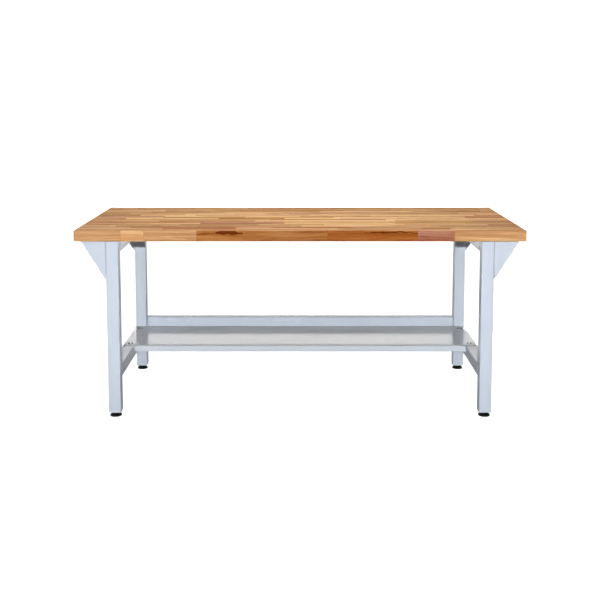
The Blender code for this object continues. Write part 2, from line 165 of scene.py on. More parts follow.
class Shaping:
    """Edit mode on one piece, with its elements picked by rule."""

    def __init__(self, piece: bpy.types.Object) -> None:
        """Keeps the piece that will be edited."""
        self.piece = piece

    def __enter__(self) -> "Shaping":
        """Enters edit mode.

        Returns:
            This shaping, for the with statement.
        """
        only(self.piece)
        bpy.ops.object.mode_set(mode="EDIT")
        return self

    def __exit__(self, *_: object) -> None:
        """Leaves edit mode."""
        bpy.ops.object.mode_set(mode="OBJECT")

    def pick(self, kind: Pick, rule: Rule) -> int:
        """Selects the elements that a rule accepts.

        Args:
            kind: Edges or faces.
            rule: Says whether an element is wanted.

        Returns:
            How many elements were selected.

        Raises:
            ValueError: If the rule accepts nothing.
        """
        bpy.ops.mesh.select_mode(type=kind.value)
        bpy.ops.mesh.select_all(action="DESELECT")
        mesh = bmesh.from_edit_mesh(self.piece.data)
        found = 0
        for item in mesh.edges if kind is Pick.EDGES else mesh.faces:
            if rule(item):
                item.select_set(True)
                found += 1
        mesh.select_flush_mode()
        bmesh.update_edit_mesh(self.piece.data)
        if not found:
            raise ValueError(f"nothing to pick on {self.piece.name}")
        return found

    def everything(self) -> None:
        """Selects the whole mesh."""
        bpy.ops.mesh.select_all(action="SELECT")

    def bevel(self, radius: float, steps: int) -> None:
        """Rounds the selected edges.

        Args:
            radius: Width of the rounding.
            steps: Segments across it.
        """
        bpy.ops.mesh.bevel(offset_type="OFFSET", offset=radius, segments=steps,
                           profile=0.5, affect="EDGES")

    def inset(self, width: float) -> None:
        """Insets the selected faces by a width."""
        bpy.ops.mesh.inset(thickness=width, depth=0.0, use_even_offset=True)

    def push(self, move: Triple) -> None:
        """Extrudes what is selected along a move."""
        bpy.ops.mesh.extrude_region_move(TRANSFORM_OT_translate={"value": move})

    def grow(self, factor: float, centre: Triple) -> None:
        """Scales what is selected about a centre, sideways but not in height."""
        bpy.ops.transform.resize(value=(factor, factor, 1.0), center_override=centre)

    def remove(self) -> None:
        """Deletes the selected faces."""
        bpy.ops.mesh.delete(type="FACE")

    def subdivide(self, cuts: int) -> None:
        """Cuts the selected edges into equal parts."""
        bpy.ops.mesh.subdivide(number_cuts=cuts)

    def bridge(self) -> None:
        """Joins the selected loops with faces."""
        bpy.ops.mesh.bridge_edge_loops()

    def slice(self, point: Triple, normal: Triple, trim: bool = False) -> None:
        """Cuts the selected faces by a plane.

        Args:
            point: A point on the plane.
            normal: The plane's normal.
            trim: Whether the side the normal points to is cleared and the cut filled.
        """
        bpy.ops.mesh.bisect(plane_co=point, plane_no=normal, use_fill=trim, clear_outer=trim)

    def face_outwards(self) -> None:
        """Turns all faces outwards."""
        self.everything()
        bpy.ops.mesh.normals_make_consistent(inside=False)

    def tidy(self) -> None:
        """Merges doubled points and turns the faces outwards."""
        self.everything()
        bpy.ops.mesh.remove_doubles(threshold=1e-6)
        self.face_outwards()


def runs_with(direction: Vector) -> Rule:
    """Rule for edges that run along a direction."""
    return lambda edge: abs((edge.verts[1].co - edge.verts[0].co).normalized().dot(direction)
                            ) > PARALLEL


def runs_along(axis: Axis) -> Rule:
    """Rule for edges that run along an axis."""
    return runs_with(Vector([float(other is axis) for other in Axis]))


def faces_towards(axis: Axis, sign: int) -> Rule:
    """Rule for faces whose normal points along an axis."""
    return lambda face: face.normal[axis.value] * sign > FACING


def lies_at(axis: Axis, place: float, reach: float = 2e-5) -> Rule:
    """Rule for faces or edges whose points all lie at one place along an axis."""
    return lambda item: all(abs(v.co[axis.value] - place) < reach for v in item.verts)


def all_of(*rules: Rule) -> Rule:
    """Rule that holds where every given rule holds."""
    return lambda item: all(rule(item) for rule in rules)


def any_of(*rules: Rule) -> Rule:
    """Rule that holds where at least one given rule holds."""
    return lambda item: any(rule(item) for rule in rules)


def settle(piece: bpy.types.Object, angle: float = 32.0) -> bpy.types.Object:
    """Puts a piece's place in its mesh and smooths its round sides.

    Args:
        piece: The piece to finish.
        angle: Edges sharper than this stay sharp, in degrees.

    Returns:
        The same piece.
    """
    only(piece)
    bpy.ops.object.transform_apply(location=True, rotation=True, scale=True)
    bpy.ops.object.shade_smooth_by_angle(angle=math.radians(angle))
    return piece


def started(name: str) -> bpy.types.Object:
    """Names the primitive just added and puts its place in its mesh.

    Args:
        name: Name of the piece.

    Returns:
        The piece.
    """
    piece = bpy.context.object
    piece.name = name
    piece.data.name = name
    only(piece)
    bpy.ops.object.transform_apply(location=True, rotation=True, scale=True)
    return piece


def block(name: str, low: Sequence[float], high: Sequence[float]) -> bpy.types.Object:
    """Starts a piece from a block between two corners.

    Args:
        name: Name of the piece.
        low: Lowest corner.
        high: Highest corner.

    Returns:
        The block, with its place in its mesh.
    """
    centre = [(a + b) / 2 for a, b in zip(low, high)]
    size = [b - a for a, b in zip(low, high)]
    bpy.ops.mesh.primitive_cube_add(size=1.0, location=centre, scale=size)
    return started(name)


def bar(name: str, radius: float, base: Sequence[float], length: float, sides: int,
        axis: Axis = Axis.Z) -> bpy.types.Object:
    """Starts a piece from a round or many-sided bar.

    Args:
        name: Name of the piece.
        radius: Radius to the bar's corners.
        base: Centre of its lower end.
        length: Length along the axis.
        sides: Number of sides.
        axis: Axis the bar runs along.

    Returns:
        The bar, with its place in its mesh.
    """
    centre = list(base)
    centre[axis.value] += length / 2
    turn = {Axis.X: (0.0, math.pi / 2, 0.0), Axis.Y: (math.pi / 2, 0.0, 0.0),
            Axis.Z: (0.0, 0.0, 0.0)}[axis]
    bpy.ops.mesh.primitive_cylinder_add(vertices=sides, radius=radius, depth=length,
                                        location=centre, rotation=turn)
    return started(name)


def middle_of(node: str) -> Triple:
    """Middle of a CAD node's box."""
    low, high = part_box(node)
    return tuple((a + b) / 2 for a, b in zip(low, high))


def drill(node: str, radius: float, start: float, end: float, sides: int,
          axis: Axis = Axis.Z) -> bpy.types.Object:
    """Starts a cutter for a round hole in line with a CAD node.

    Args:
        node: CAD node that stands in the hole.
        radius: Radius of the hole.
        start: Where the cutter starts along the axis.
        end: Where it ends.
        sides: Number of sides.
        axis: Axis it runs along.

    Returns:
        The cutter.
    """
    base = list(middle_of(node))
    base[axis.value] = start
    return bar("drill", radius, base, end - start, sides, axis)


def applied(piece: bpy.types.Object, kind: str, **values: object) -> bpy.types.Object:
    """Adds a modifier to a piece and applies it.

    Args:
        piece: The piece to change.
        kind: Type of the modifier.
        values: Its settings.

    Returns:
        The same piece.
    """
    only(piece)
    modifier = piece.modifiers.new(kind.title(), kind)
    for key, value in values.items():
        setattr(modifier, key, value)
    bpy.ops.object.modifier_apply(modifier=modifier.name)
    return piece


def combined(piece: bpy.types.Object, others: Iterable[bpy.types.Object],
             operation: str = "DIFFERENCE") -> bpy.types.Object:
    """Cuts other shapes from a piece, or unites them with it, and removes them.

    Args:
        piece: The piece to change.
        others: The shapes used up.
        operation: Name of the boolean operation.

    Returns:
        The same piece.
    """
    for other in others:
        applied(piece, "BOOLEAN", solver="EXACT", operation=operation, object=other)
        bpy.data.objects.remove(other, do_unlink=True)
    return piece


def copied(piece: bpy.types.Object, name: str, change: Matrix) -> bpy.types.Object:
    """Copies a piece with its own mesh, moved or mirrored.

    Args:
        piece: The piece to copy.
        name: Name of the copy.
        change: What is done to the copy's points.

    Returns:
        The copy.
    """
    copy = piece.copy()
    copy.data = piece.data.copy()
    copy.name = name
    copy.data.name = name
    copy.data.transform(change)
    if change.determinant() < 0:
        copy.data.flip_normals()
    bpy.context.scene.collection.objects.link(copy)
    return copy


MIRROR_X = Matrix.Diagonal((-1.0, 1.0, 1.0, 1.0))
MIRROR_Y = Matrix.Diagonal((1.0, -1.0, 1.0, 1.0))


def fit_out(piece: bpy.types.Object, material: bpy.types.Material, body: str, slot: str,
            *nodes: str) -> None:
    """Dresses a finished piece and ties it to the frame.

    Args:
        piece: The finished piece.
        material: Its material.
        body: CAD body it rides on.
        slot: Material slot of the record; not used.
        nodes: CAD nodes that it stands for.
    """
    piece.data.materials.clear()
    piece.data.materials.append(material)
    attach(piece, body)
    if nodes:
        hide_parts(*nodes)
    LOG.info("%s rides on %s", piece.name, body)


def dress_kept(node: str, material: bpy.types.Material) -> None:
    """Gives a CAD node that stays visible its finish."""
    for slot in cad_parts[node].material_slots:
        slot.material = material


# --------------------------------------------------------------------------------------
# Shader nodes
# --------------------------------------------------------------------------------------

def linear(colour: Sequence[float]) -> Tuple[float, float, float, float]:
    """Turns an sRGB colour into the linear colour a shader takes.

    Args:
        colour: Red, green and blue, 0 to 1.

    Returns:
        Linear red, green, blue and full alpha.
    """
    return tuple(value / 12.92 if value <= 0.04045 else ((value + 0.055) / 1.055) ** 2.4
                 for value in colour) + (1.0,)


class NodeSheet:
    """A node tree with short ways to add and join nodes."""

    def __init__(self, tree: bpy.types.NodeTree) -> None:
        """Keeps the tree that nodes are added to."""
        self.tree = tree

    def feed(self, socket: Socket, value: Union[Socket, float, Sequence[float]]) -> None:
        """Joins a socket to another, or sets its value.

        Args:
            socket: The input to feed.
            value: An output socket, a number, a vector or a colour.
        """
        if isinstance(value, bpy.types.NodeSocket):
            self.tree.links.new(value, socket)
        else:
            socket.default_value = value

    def add(self, kind: str, settings: Optional[Dict[str, object]] = None,
            **inputs: object) -> bpy.types.Node:
        """Adds a node.

        Args:
            kind: Type name of the node.
            settings: Properties of the node.
            inputs: Values for its inputs, spaces in their names written as underscores.

        Returns:
            The new node.
        """
        node = self.tree.nodes.new(kind)
        for key, value in (settings or {}).items():
            setattr(node, key, value)
        for key, value in inputs.items():
            self.feed(node.inputs[key.replace("_", " ")], value)
        return node

    def math(self, operation: str, *values: object, clamp: bool = False) -> Socket:
        """Adds a Math node.

        Args:
            operation: Name of the operation.
            values: Its inputs in order.
            clamp: Whether the result is held between 0 and 1.

        Returns:
            The result.
        """
        node = self.add("ShaderNodeMath", {"operation": operation, "use_clamp": clamp})
        for socket, value in zip(node.inputs, values):
            self.feed(socket, value)
        return node.outputs[0]

    def plus(self, base: object, mask: Socket, share: float) -> Socket:
        """Adds a share of a mask to a value."""
        return self.math("ADD", base, self.math("MULTIPLY", mask, share))

    def vector(self, operation: str, *values: object) -> Socket:
        """Adds a Vector Math node.

        Args:
            operation: Name of the operation.
            values: Its inputs in order.

        Returns:
            Its vector result.
        """
        node = self.add("ShaderNodeVectorMath", {"operation": operation})
        for socket, value in zip(node.inputs, values):
            self.feed(socket, value)
        return node.outputs[0]

    def stretched(self, source: Socket, scale: Triple) -> Socket:
        """Scales coordinates by a vector."""
        return self.vector("MULTIPLY", source, scale)

    def noise(self, source: Socket, detail: float = 2.0, roughness: float = 0.5,
              scale: Union[Socket, float] = 1.0, distortion: float = 0.0) -> Socket:
        """Adds a Noise Texture.

        Args:
            source: Coordinates it is read at.
            detail: Number of finer layers.
            roughness: Strength of the finer layers.
            scale: How many features fit in a metre.
            distortion: How far its shapes are warped.

        Returns:
            Its value, about 0.5 on average.
        """
        node = self.add("ShaderNodeTexNoise", Vector=source, Scale=scale, Detail=detail,
                        Roughness=roughness, Distortion=distortion)
        return node.outputs[0]

    def spread(self, value: Socket, start: float, end: float) -> Socket:
        """Maps a value between 0 and 1 evenly onto a range."""
        return self.ramp(value, 0.0, 1.0, start, end, smooth=False)

    def ramp(self, value: object, low: float, high: float, start: float = 0.0,
             end: float = 1.0, smooth: bool = True) -> Socket:
        """Maps a value from one range to another.

        Args:
            value: The value to map.
            low: Value that gives the start.
            high: Value that gives the end.
            start: Result at the low value.
            end: Result at the high value.
            smooth: Whether the ends ease in and out.

        Returns:
            The mapped value, held within the range.
        """
        node = self.add("ShaderNodeMapRange",
                        {"interpolation_type": "SMOOTHSTEP" if smooth else "LINEAR"})
        for socket, item in zip(node.inputs, (value, low, high, start, end)):
            self.feed(socket, item)
        return node.outputs[0]

    def blend(self, factor: object, first: object, second: object, mode: str = "MIX") -> Socket:
        """Mixes two colours.

        Args:
            factor: How much of the second colour.
            first: First colour.
            second: Second colour.
            mode: Blend mode.

        Returns:
            The mixed colour.
        """
        node = self.add("ShaderNodeMix", {"data_type": "RGBA", "blend_type": mode})
        for index, item in ((0, factor), (6, first), (7, second)):
            self.feed(node.inputs[index], item)
        return node.outputs[2]

    def if_seen(self, other: object, seen: float) -> Socket:
        """Gives one value to the camera's own rays and another to all other rays.

        Args:
            other: Value for all other rays.
            seen: Value for the camera's rays.

        Returns:
            The chosen value.
        """
        node = self.add("ShaderNodeMix", {"data_type": "FLOAT"})
        ray = self.add("ShaderNodeLightPath").outputs["Is Camera Ray"]
        for index, item in ((0, ray), (2, other), (3, seen)):
            self.feed(node.inputs[index], item)
        return node.outputs[0]

    def apart(self, source: Socket) -> Tuple[Socket, Socket, Socket]:
        """Splits a vector into its three values."""
        node = self.add("ShaderNodeSeparateXYZ", Vector=source)
        return tuple(node.outputs)

    def group(self, group: bpy.types.NodeTree, **inputs: object) -> bpy.types.Node:
        """Places a shared node group.

        Args:
            group: The group.
            inputs: Values for its inputs, spaces in their names written as underscores.

        Returns:
            The group's node.
        """
        return self.add("ShaderNodeGroup", {"node_tree": group}, **inputs)


def new_group(name: str, inputs: Dict[str, Tuple[str, object]],
              outputs: Dict[str, str]) -> Tuple[bpy.types.NodeTree, NodeSheet,
                                                bpy.types.Node, bpy.types.Node]:
    """Starts a shader node group.

    Args:
        name: Name of the group.
        inputs: Input names with socket type and default value.
        outputs: Output names with socket type.

    Returns:
        The group, its sheet, its input node and its output node.
    """
    tree = bpy.data.node_groups.new(name, "ShaderNodeTree")
    for label, (kind, default) in inputs.items():
        socket = tree.interface.new_socket(label, in_out="INPUT", socket_type=kind)
        if default is not None:
            socket.default_value = default
    for label, kind in outputs.items():
        tree.interface.new_socket(label, in_out="OUTPUT", socket_type=kind)
    sheet = NodeSheet(tree)
    return tree, sheet, sheet.add("NodeGroupInput"), sheet.add("NodeGroupOutput")


class SharedEffects:
    """Node groups that more than one finish uses."""

    dimples: float = 900.0
    wave: float = 130.0
    wave_share: float = 1.6
    mottle: float = 9.0
    smudge: float = 6.0
    wiped: Triple = (14.0, 55.0, 55.0)
    scratches: Triple = (700.0, 700.0, 60.0)
    specks: float = 1500.0
    wear_anywhere: float = 0.2
    wear_low_down: float = 0.7
    turned: Triple = (300.0, 300.0, 4000.0)
    cloud: float = 420.0

    def __init__(self) -> None:
        """Builds the groups once."""
        self.orange_peel = self.build_orange_peel()
        self.handling = self.build_handling()
        self.scuffs = self.build_scuffs()
        self.machining = self.build_machining()

    def build_orange_peel(self) -> bpy.types.NodeTree:
        """Dimpled skin of sprayed powder: its height and a slow mottle of its colour.

        Returns:
            The node group.
        """
        tree, sheet, given, result = new_group(
            "orange_peel",
            {"Vector": ("NodeSocketVector", None),
             "Dimples": ("NodeSocketFloat", self.dimples)},
            {"Height": "NodeSocketFloat", "Mottle": "NodeSocketFloat"})
        fine = sheet.noise(given.outputs[0], scale=given.outputs[1], roughness=0.45)
        wavy = sheet.noise(given.outputs[0], scale=self.wave, detail=1.0)
        mottle = sheet.noise(given.outputs[0], scale=self.mottle, detail=3.0, roughness=0.6)
        sheet.feed(result.inputs[0], sheet.plus(fine, wavy, self.wave_share))
        sheet.feed(result.inputs[1], sheet.ramp(mottle, 0.3, 0.7))
        return tree

    def build_handling(self) -> bpy.types.NodeTree:
        """Soft smudges left by hands and wiping.

        Returns:
            The node group.
        """
        tree, sheet, given, result = new_group(
            "handling", {"Vector": ("NodeSocketVector", None)}, {"Smudge": "NodeSocketFloat"})
        broad = sheet.noise(given.outputs[0], scale=self.smudge, detail=4.0, roughness=0.65,
                            distortion=0.8)
        wiped = sheet.noise(sheet.stretched(given.outputs[0], self.wiped), detail=3.0)
        both = sheet.math("MULTIPLY", sheet.ramp(broad, 0.35, 0.72), sheet.ramp(wiped, 0.3, 0.7))
        sheet.feed(result.inputs[0], both)
        return tree

    def build_scuffs(self) -> bpy.types.NodeTree:
        """Fine scratches and specks, thicker near the floor.

        Returns:
            The node group.
        """
        tree, sheet, given, result = new_group(
            "scuffs",
            {"Vector": ("NodeSocketVector", None), "Reach": ("NodeSocketFloat", 0.25)},
            {"Mask": "NodeSocketFloat"})
        height = sheet.apart(given.outputs[0])[2]
        low_down = sheet.math("SUBTRACT", 1.0, sheet.math("DIVIDE", height, given.outputs[1],
                                                          clamp=True), clamp=True)
        lines = sheet.noise(sheet.stretched(given.outputs[0], self.scratches), detail=3.0,
                            roughness=0.7)
        specks = sheet.noise(given.outputs[0], scale=self.specks, detail=1.0)
        marks = sheet.math("MAXIMUM", sheet.ramp(lines, 0.70, 0.78),
                           sheet.ramp(specks, 0.76, 0.82))
        density = sheet.plus(self.wear_anywhere, low_down, self.wear_low_down)
        sheet.feed(result.inputs[0], sheet.math("MULTIPLY", marks, density))
        return tree

    def build_machining(self) -> bpy.types.NodeTree:
        """Fine turned or rolled lines on plated and moulded small parts.

        Returns:
            The node group.
        """
        tree, sheet, given, result = new_group(
            "machining", {"Vector": ("NodeSocketVector", None)},
            {"Line": "NodeSocketFloat", "Cloud": "NodeSocketFloat"})
        line = sheet.noise(sheet.stretched(given.outputs[0], self.turned), detail=2.0)
        cloud = sheet.noise(given.outputs[0], scale=self.cloud, detail=3.0, roughness=0.6)
        sheet.feed(result.inputs[0], line)
        sheet.feed(result.inputs[1], sheet.ramp(cloud, 0.35, 0.68))
        return tree


def new_material(name: str) -> Tuple[bpy.types.Material, NodeSheet, bpy.types.Node, Socket]:
    """Starts a material.

    Args:
        name: Name of the material.

    Returns:
        The material, its sheet, its Principled shader and its Object coordinates.
    """
    material = bpy.data.materials.new(name)
    material.use_nodes = True
    sheet = NodeSheet(material.node_tree)
    shader = material.node_tree.nodes["Principled BSDF"]
    place = sheet.add("ShaderNodeTexCoord").outputs["Object"]
    return material, sheet, shader, place


# --------------------------------------------------------------------------------------
# Finishes
# --------------------------------------------------------------------------------------

@dataclass(frozen=True)
class PowderCoat:
    """Sprayed and baked paint on steel."""

    name: str
    colour: Triple
    roughness: float = 0.30
    dimple_depth: float = 0.000018
    gloss: float = 0.5
    mottle: Triple = (0.955, 0.968, 0.985)
    worn: Triple = (0.56, 0.58, 0.61)
    worn_share: float = 0.35
    worn_reach: float = 0.30
    worn_roughness: float = 0.18
    smudge_roughness: float = 0.04

    def material(self, effects: SharedEffects) -> bpy.types.Material:
        """Builds the finish.

        Args:
            effects: Shared node groups.

        Returns:
            The material.
        """
        material, sheet, shader, place = new_material(self.name)
        peel = sheet.group(effects.orange_peel, Vector=place)
        smudge = sheet.group(effects.handling, Vector=place).outputs["Smudge"]
        scuff = sheet.group(effects.scuffs, Vector=place, Reach=self.worn_reach).outputs["Mask"]
        base = linear(self.colour)
        cooler = tuple(value * factor for value, factor in zip(base, (*self.mottle, 1.0)))
        colour = sheet.blend(peel.outputs["Mottle"], cooler, base)
        colour = sheet.blend(sheet.math("MULTIPLY", scuff, self.worn_share), colour,
                             linear(self.worn))
        sheet.feed(shader.inputs["Base Color"], colour)
        rough = sheet.plus(self.roughness, smudge, self.smudge_roughness)
        rough = sheet.plus(rough, scuff, self.worn_roughness)
        sheet.feed(shader.inputs["Roughness"], rough)
        shader.inputs["Specular IOR Level"].default_value = self.gloss
        bump = sheet.add("ShaderNodeBump", Height=peel.outputs["Height"],
                         Distance=self.dimple_depth, Strength=1.0)
        sheet.feed(shader.inputs["Normal"], bump.outputs[0])
        return material


@dataclass(frozen=True)
class MouldedNylon:
    """Black moulded plastic with a fine spark texture."""

    name: str
    colour: Triple = (0.038, 0.039, 0.042)
    roughness: float = 0.48
    cloud: Triple = (0.085, 0.086, 0.090)
    cloud_share: float = 0.30
    cloud_roughness: float = 0.16
    dust: Triple = (0.20, 0.20, 0.21)
    dust_share: float = 0.25
    dust_reach: float = 0.03
    gloss: float = 0.30
    grit: float = 3200.0
    grit_depth: float = 0.00003

    def material(self, effects: SharedEffects) -> bpy.types.Material:
        """Builds the finish from the shared groups.

        Args:
            effects: Shared node groups.

        Returns:
            The material.
        """
        material, sheet, shader, place = new_material(self.name)
        marks = sheet.group(effects.machining, Vector=place)
        scuff = sheet.group(effects.scuffs, Vector=place, Reach=self.dust_reach).outputs["Mask"]
        colour = sheet.blend(sheet.math("MULTIPLY", marks.outputs["Cloud"], self.cloud_share),
                             linear(self.colour), linear(self.cloud))
        colour = sheet.blend(sheet.math("MULTIPLY", scuff, self.dust_share), colour,
                             linear(self.dust))
        sheet.feed(shader.inputs["Base Color"], colour)
        rough = sheet.plus(self.roughness, marks.outputs["Cloud"], self.cloud_roughness)
        sheet.feed(shader.inputs["Roughness"], rough)
        shader.inputs["Specular IOR Level"].default_value = self.gloss
        grit = sheet.noise(place, scale=self.grit, detail=2.0)
        bump = sheet.add("ShaderNodeBump", Height=grit, Distance=self.grit_depth, Strength=0.8)
        sheet.feed(shader.inputs["Normal"], bump.outputs[0])
        return material


@dataclass(frozen=True)
class PlatedSteel:
    """Zinc plate or black oxide on a small steel part."""

    name: str
    colour: Triple
    spangle: Triple
    roughness: float = 0.30
    cloud_roughness: float = 0.15
    line_depth: float = 0.00001

    def material(self, effects: SharedEffects) -> bpy.types.Material:
        """Builds the finish.

        Args:
            effects: Shared node groups.

        Returns:
            The material.
        """
        material, sheet, shader, place = new_material(self.name)
        marks = sheet.group(effects.machining, Vector=place)
        colour = sheet.blend(marks.outputs["Cloud"], linear(self.colour), linear(self.spangle))
        sheet.feed(shader.inputs["Base Color"], colour)
        shader.inputs["Metallic"].default_value = 1.0
        rough = sheet.plus(self.roughness, marks.outputs["Cloud"], self.cloud_roughness)
        sheet.feed(shader.inputs["Roughness"], rough)
        bump = sheet.add("ShaderNodeBump", Height=marks.outputs["Line"],
                         Distance=self.line_depth, Strength=0.6)
        sheet.feed(shader.inputs["Normal"], bump.outputs[0])
        return material


@dataclass(frozen=True)
class OiledHardwood:
    """Sanded and oiled hardwood staves, each with its own tone and figure."""

    name: str
    top_height: float
    mid_height: float
    tone_gain: Triple = (1.00, 1.05, 1.10)
    sap_grain: Triple = (1.5, 34.0, 34.0)
    sap: Triple = (0.940, 0.815, 0.610)
    sap_share: float = 0.72
    band_grain: Triple = (2.6, 52.0, 52.0)
    band: Triple = (0.87, 0.77, 0.66)
    band_share: float = 0.85
    ring: Triple = (0.74, 0.55, 0.42)
    ring_share: float = 0.26
    ring_spacing: float = 0.0030
    ring_wander_grain: Triple = (1.6, 5.0, 5.0)
    ring_wander: float = 0.045
    ring_ripple_grain: Triple = (9.0, 60.0, 60.0)
    ring_ripple: float = 0.004
    pith_aside: float = 0.050
    pith_heights: Tuple[float, float] = (-0.090, 0.060)
    fibre_grain: Triple = (16.0, 620.0, 620.0)
    fibre: Triple = (0.82, 0.70, 0.58)
    fibre_share: float = 0.36
    streak_grain: Triple = (4.5, 42.0, 42.0)
    streak: Triple = (0.62, 0.44, 0.32)
    vein: Triple = (0.34, 0.12, 0.01)
    vein_share: float = 0.90
    vein_drop: float = 0.0075
    vein_bow: float = 0.0180
    vein_crest: float = 0.70
    vein_half: float = 0.0072
    vein_ragged_grain: Triple = (26.0, 60.0, 60.0)
    vein_ragged: float = 0.0120
    vein_edge: float = 0.0018
    pore_grain: Triple = (110.0, 2300.0, 2300.0)
    pore: Triple = (0.60, 0.48, 0.40)
    pore_share: float = 0.45
    pore_roughness: float = 0.12
    end_grain: Triple = (0.80, 0.68, 0.58)
    end_grain_share: float = 0.55
    glue: Triple = (0.36, 0.22, 0.13)
    glue_share: float = 0.55
    glue_width: Tuple[float, float] = (0.00018, 0.00050)
    roughness: float = 0.56
    smudge_roughness: float = 0.08
    gloss: float = 0.03
    relief: float = 0.00004

    def material(self, effects: SharedEffects) -> bpy.types.Material:
        """Builds the finish from the staves' attributes.

        Args:
            effects: Shared node groups.

        Returns:
            The material.
        """
        material, sheet, shader, place = new_material(self.name)
        tone = self.attribute(sheet, "stave_tone", "Color")
        seed = self.attribute(sheet, "stave_seed", "Vector")
        span = self.attribute(sheet, "stave_span", "Vector")
        trait = self.attribute(sheet, "stave_trait", "Vector")
        figure, vein, end_grain = sheet.apart(trait)
        shifted = sheet.vector("ADD", place, sheet.stretched(seed, (3.0, 5.0, 7.0)))
        ring = self.rings(sheet, place, shifted, seed, span)
        streak = self.heart_streaks(sheet, shifted, figure)
        fibre = sheet.noise(sheet.stretched(shifted, self.fibre_grain), detail=3.0,
                            roughness=0.62)
        band = sheet.noise(sheet.stretched(shifted, self.band_grain), detail=3.0,
                           roughness=0.6, distortion=0.6)
        pore = sheet.ramp(sheet.noise(sheet.stretched(shifted, self.pore_grain), detail=1.0),
                          0.63, 0.70)
        sap = sheet.noise(sheet.stretched(shifted, self.sap_grain), detail=3.0, roughness=0.55)
        bright = sheet.vector("MULTIPLY", tone, self.tone_gain)
        pale = sheet.math("MULTIPLY", sheet.ramp(sap, 0.52, 0.66, 0.0, self.sap_share),
                          sheet.ramp(figure, 0.10, 0.35, 1.0, 0.08))
        colour = sheet.blend(pale, bright, linear(self.sap))
        colour = self.stain(sheet, colour, self.band,
                            sheet.ramp(band, 0.34, 0.66, 0.0, self.band_share))
        colour = self.stain(sheet, colour, self.ring, ring, self.ring_share)
        colour = self.stain(sheet, colour, self.fibre,
                            sheet.ramp(fibre, 0.35, 0.75, 0.0, self.fibre_share))
        colour = self.stain(sheet, colour, self.streak, streak)
        dark_vein = self.heart_vein(sheet, place, shifted, span, vein)
        colour = sheet.blend(sheet.math("MULTIPLY", dark_vein, self.vein_share), colour,
                             linear(self.vein))
        colour = self.stain(sheet, colour, self.pore, pore, self.pore_share)
        colour = self.stain(sheet, colour, self.end_grain, end_grain, self.end_grain_share)
        joint = self.glue_lines(sheet, place, span, self.attribute(sheet, "stave_row", "Vector"))
        colour = sheet.blend(sheet.math("MULTIPLY", joint, self.glue_share), colour,
                             linear(self.glue))
        sheet.feed(shader.inputs["Base Color"], colour)
        smudge = sheet.group(effects.handling, Vector=place).outputs["Smudge"]
        rough = sheet.plus(self.roughness, smudge, self.smudge_roughness)
        rough = sheet.plus(rough, pore, self.pore_roughness)
        sheet.feed(shader.inputs["Roughness"], rough)
        shader.inputs["Specular IOR Level"].default_value = self.gloss
        height = sheet.math("SUBTRACT", sheet.math("MULTIPLY", fibre, 0.5),
                            sheet.plus(pore, joint, 1.5))
        bump = sheet.add("ShaderNodeBump", Height=height, Distance=self.relief, Strength=0.9)
        sheet.feed(shader.inputs["Normal"], bump.outputs[0])
        return material

    def stain(self, sheet: NodeSheet, colour: Socket, tint: Triple, mask: Socket,
              share: Optional[float] = None) -> Socket:
        """Darkens a colour by a tint where a mask is.

        Args:
            sheet: The material's nodes.
            colour: The colour so far.
            tint: Tint that multiplies it, in sRGB.
            mask: Where the tint lies.
            share: How much of the mask counts, all of it if not given.

        Returns:
            The stained colour.
        """
        deeper = sheet.blend(1.0, colour, linear(tint), "MULTIPLY")
        if share is not None:
            mask = sheet.math("MULTIPLY", mask, share)
        return sheet.blend(mask, colour, deeper)

    def attribute(self, sheet: NodeSheet, name: str, output: str) -> Socket:
        """Reads one of the staves' attributes.

        Args:
            sheet: The material's nodes.
            name: Name of the attribute.
            output: The node's output to read it from.

        Returns:
            The attribute's value.
        """
        node = sheet.add("ShaderNodeAttribute", {"attribute_type": "GEOMETRY",
                                                 "attribute_name": name})
        return node.outputs[output]

    def rings(self, sheet: NodeSheet, place: Socket, shifted: Socket, seed: Socket,
              span: Socket) -> Socket:
        """Growth rings about a pith that lies off each stave.

        Args:
            sheet: The material's nodes.
            place: Object coordinates.
            shifted: Object coordinates moved by the stave's seed.
            seed: Random numbers of the stave.
            span: Start, end and middle line of the stave.

        Returns:
            0 in early wood and 1 in late wood.
        """
        _, across, up = sheet.apart(place)
        _, seed_y, seed_z = sheet.apart(seed)
        row_middle = sheet.apart(span)[2]
        wander = sheet.noise(sheet.stretched(shifted, self.ring_wander_grain), detail=2.0)
        ripple = sheet.noise(sheet.stretched(shifted, self.ring_ripple_grain), detail=2.0)
        drift = sheet.math("ADD", sheet.spread(wander, -self.ring_wander, self.ring_wander),
                           sheet.spread(ripple, -self.ring_ripple, self.ring_ripple))
        pith_y = sheet.spread(seed_y, -self.pith_aside, self.pith_aside)
        pith_z = sheet.spread(seed_z, *self.pith_heights)
        offset_y = sheet.math("SUBTRACT", sheet.math("SUBTRACT", across, row_middle), pith_y)
        offset_z = sheet.math("SUBTRACT", sheet.math("SUBTRACT", up, self.mid_height), pith_z)
        offset_z = sheet.math("ADD", offset_z, drift)
        radius = sheet.math("SQRT", sheet.math("ADD", sheet.math("MULTIPLY", offset_y, offset_y),
                                               sheet.math("MULTIPLY", offset_z, offset_z)))
        phase = sheet.math("FRACT", sheet.math("DIVIDE", radius, self.ring_spacing))
        late = sheet.ramp(phase, 0.35, 0.88)
        return sheet.math("MULTIPLY", late, sheet.ramp(phase, 0.92, 1.0, 1.0, 0.0))

    def heart_streaks(self, sheet: NodeSheet, shifted: Socket, figure: Socket) -> Socket:
        """Dark heartwood bands, strong only in figured staves.

        Args:
            sheet: The material's nodes.
            shifted: Object coordinates moved by the stave's seed.
            figure: How strongly the stave is figured.

        Returns:
            Mask of the streaks.
        """
        wide = sheet.noise(sheet.stretched(shifted, self.streak_grain), detail=4.0,
                           roughness=0.58, distortion=1.2)
        mask = sheet.ramp(wide, 0.50, 0.66)
        return sheet.math("MULTIPLY", mask, figure, clamp=True)

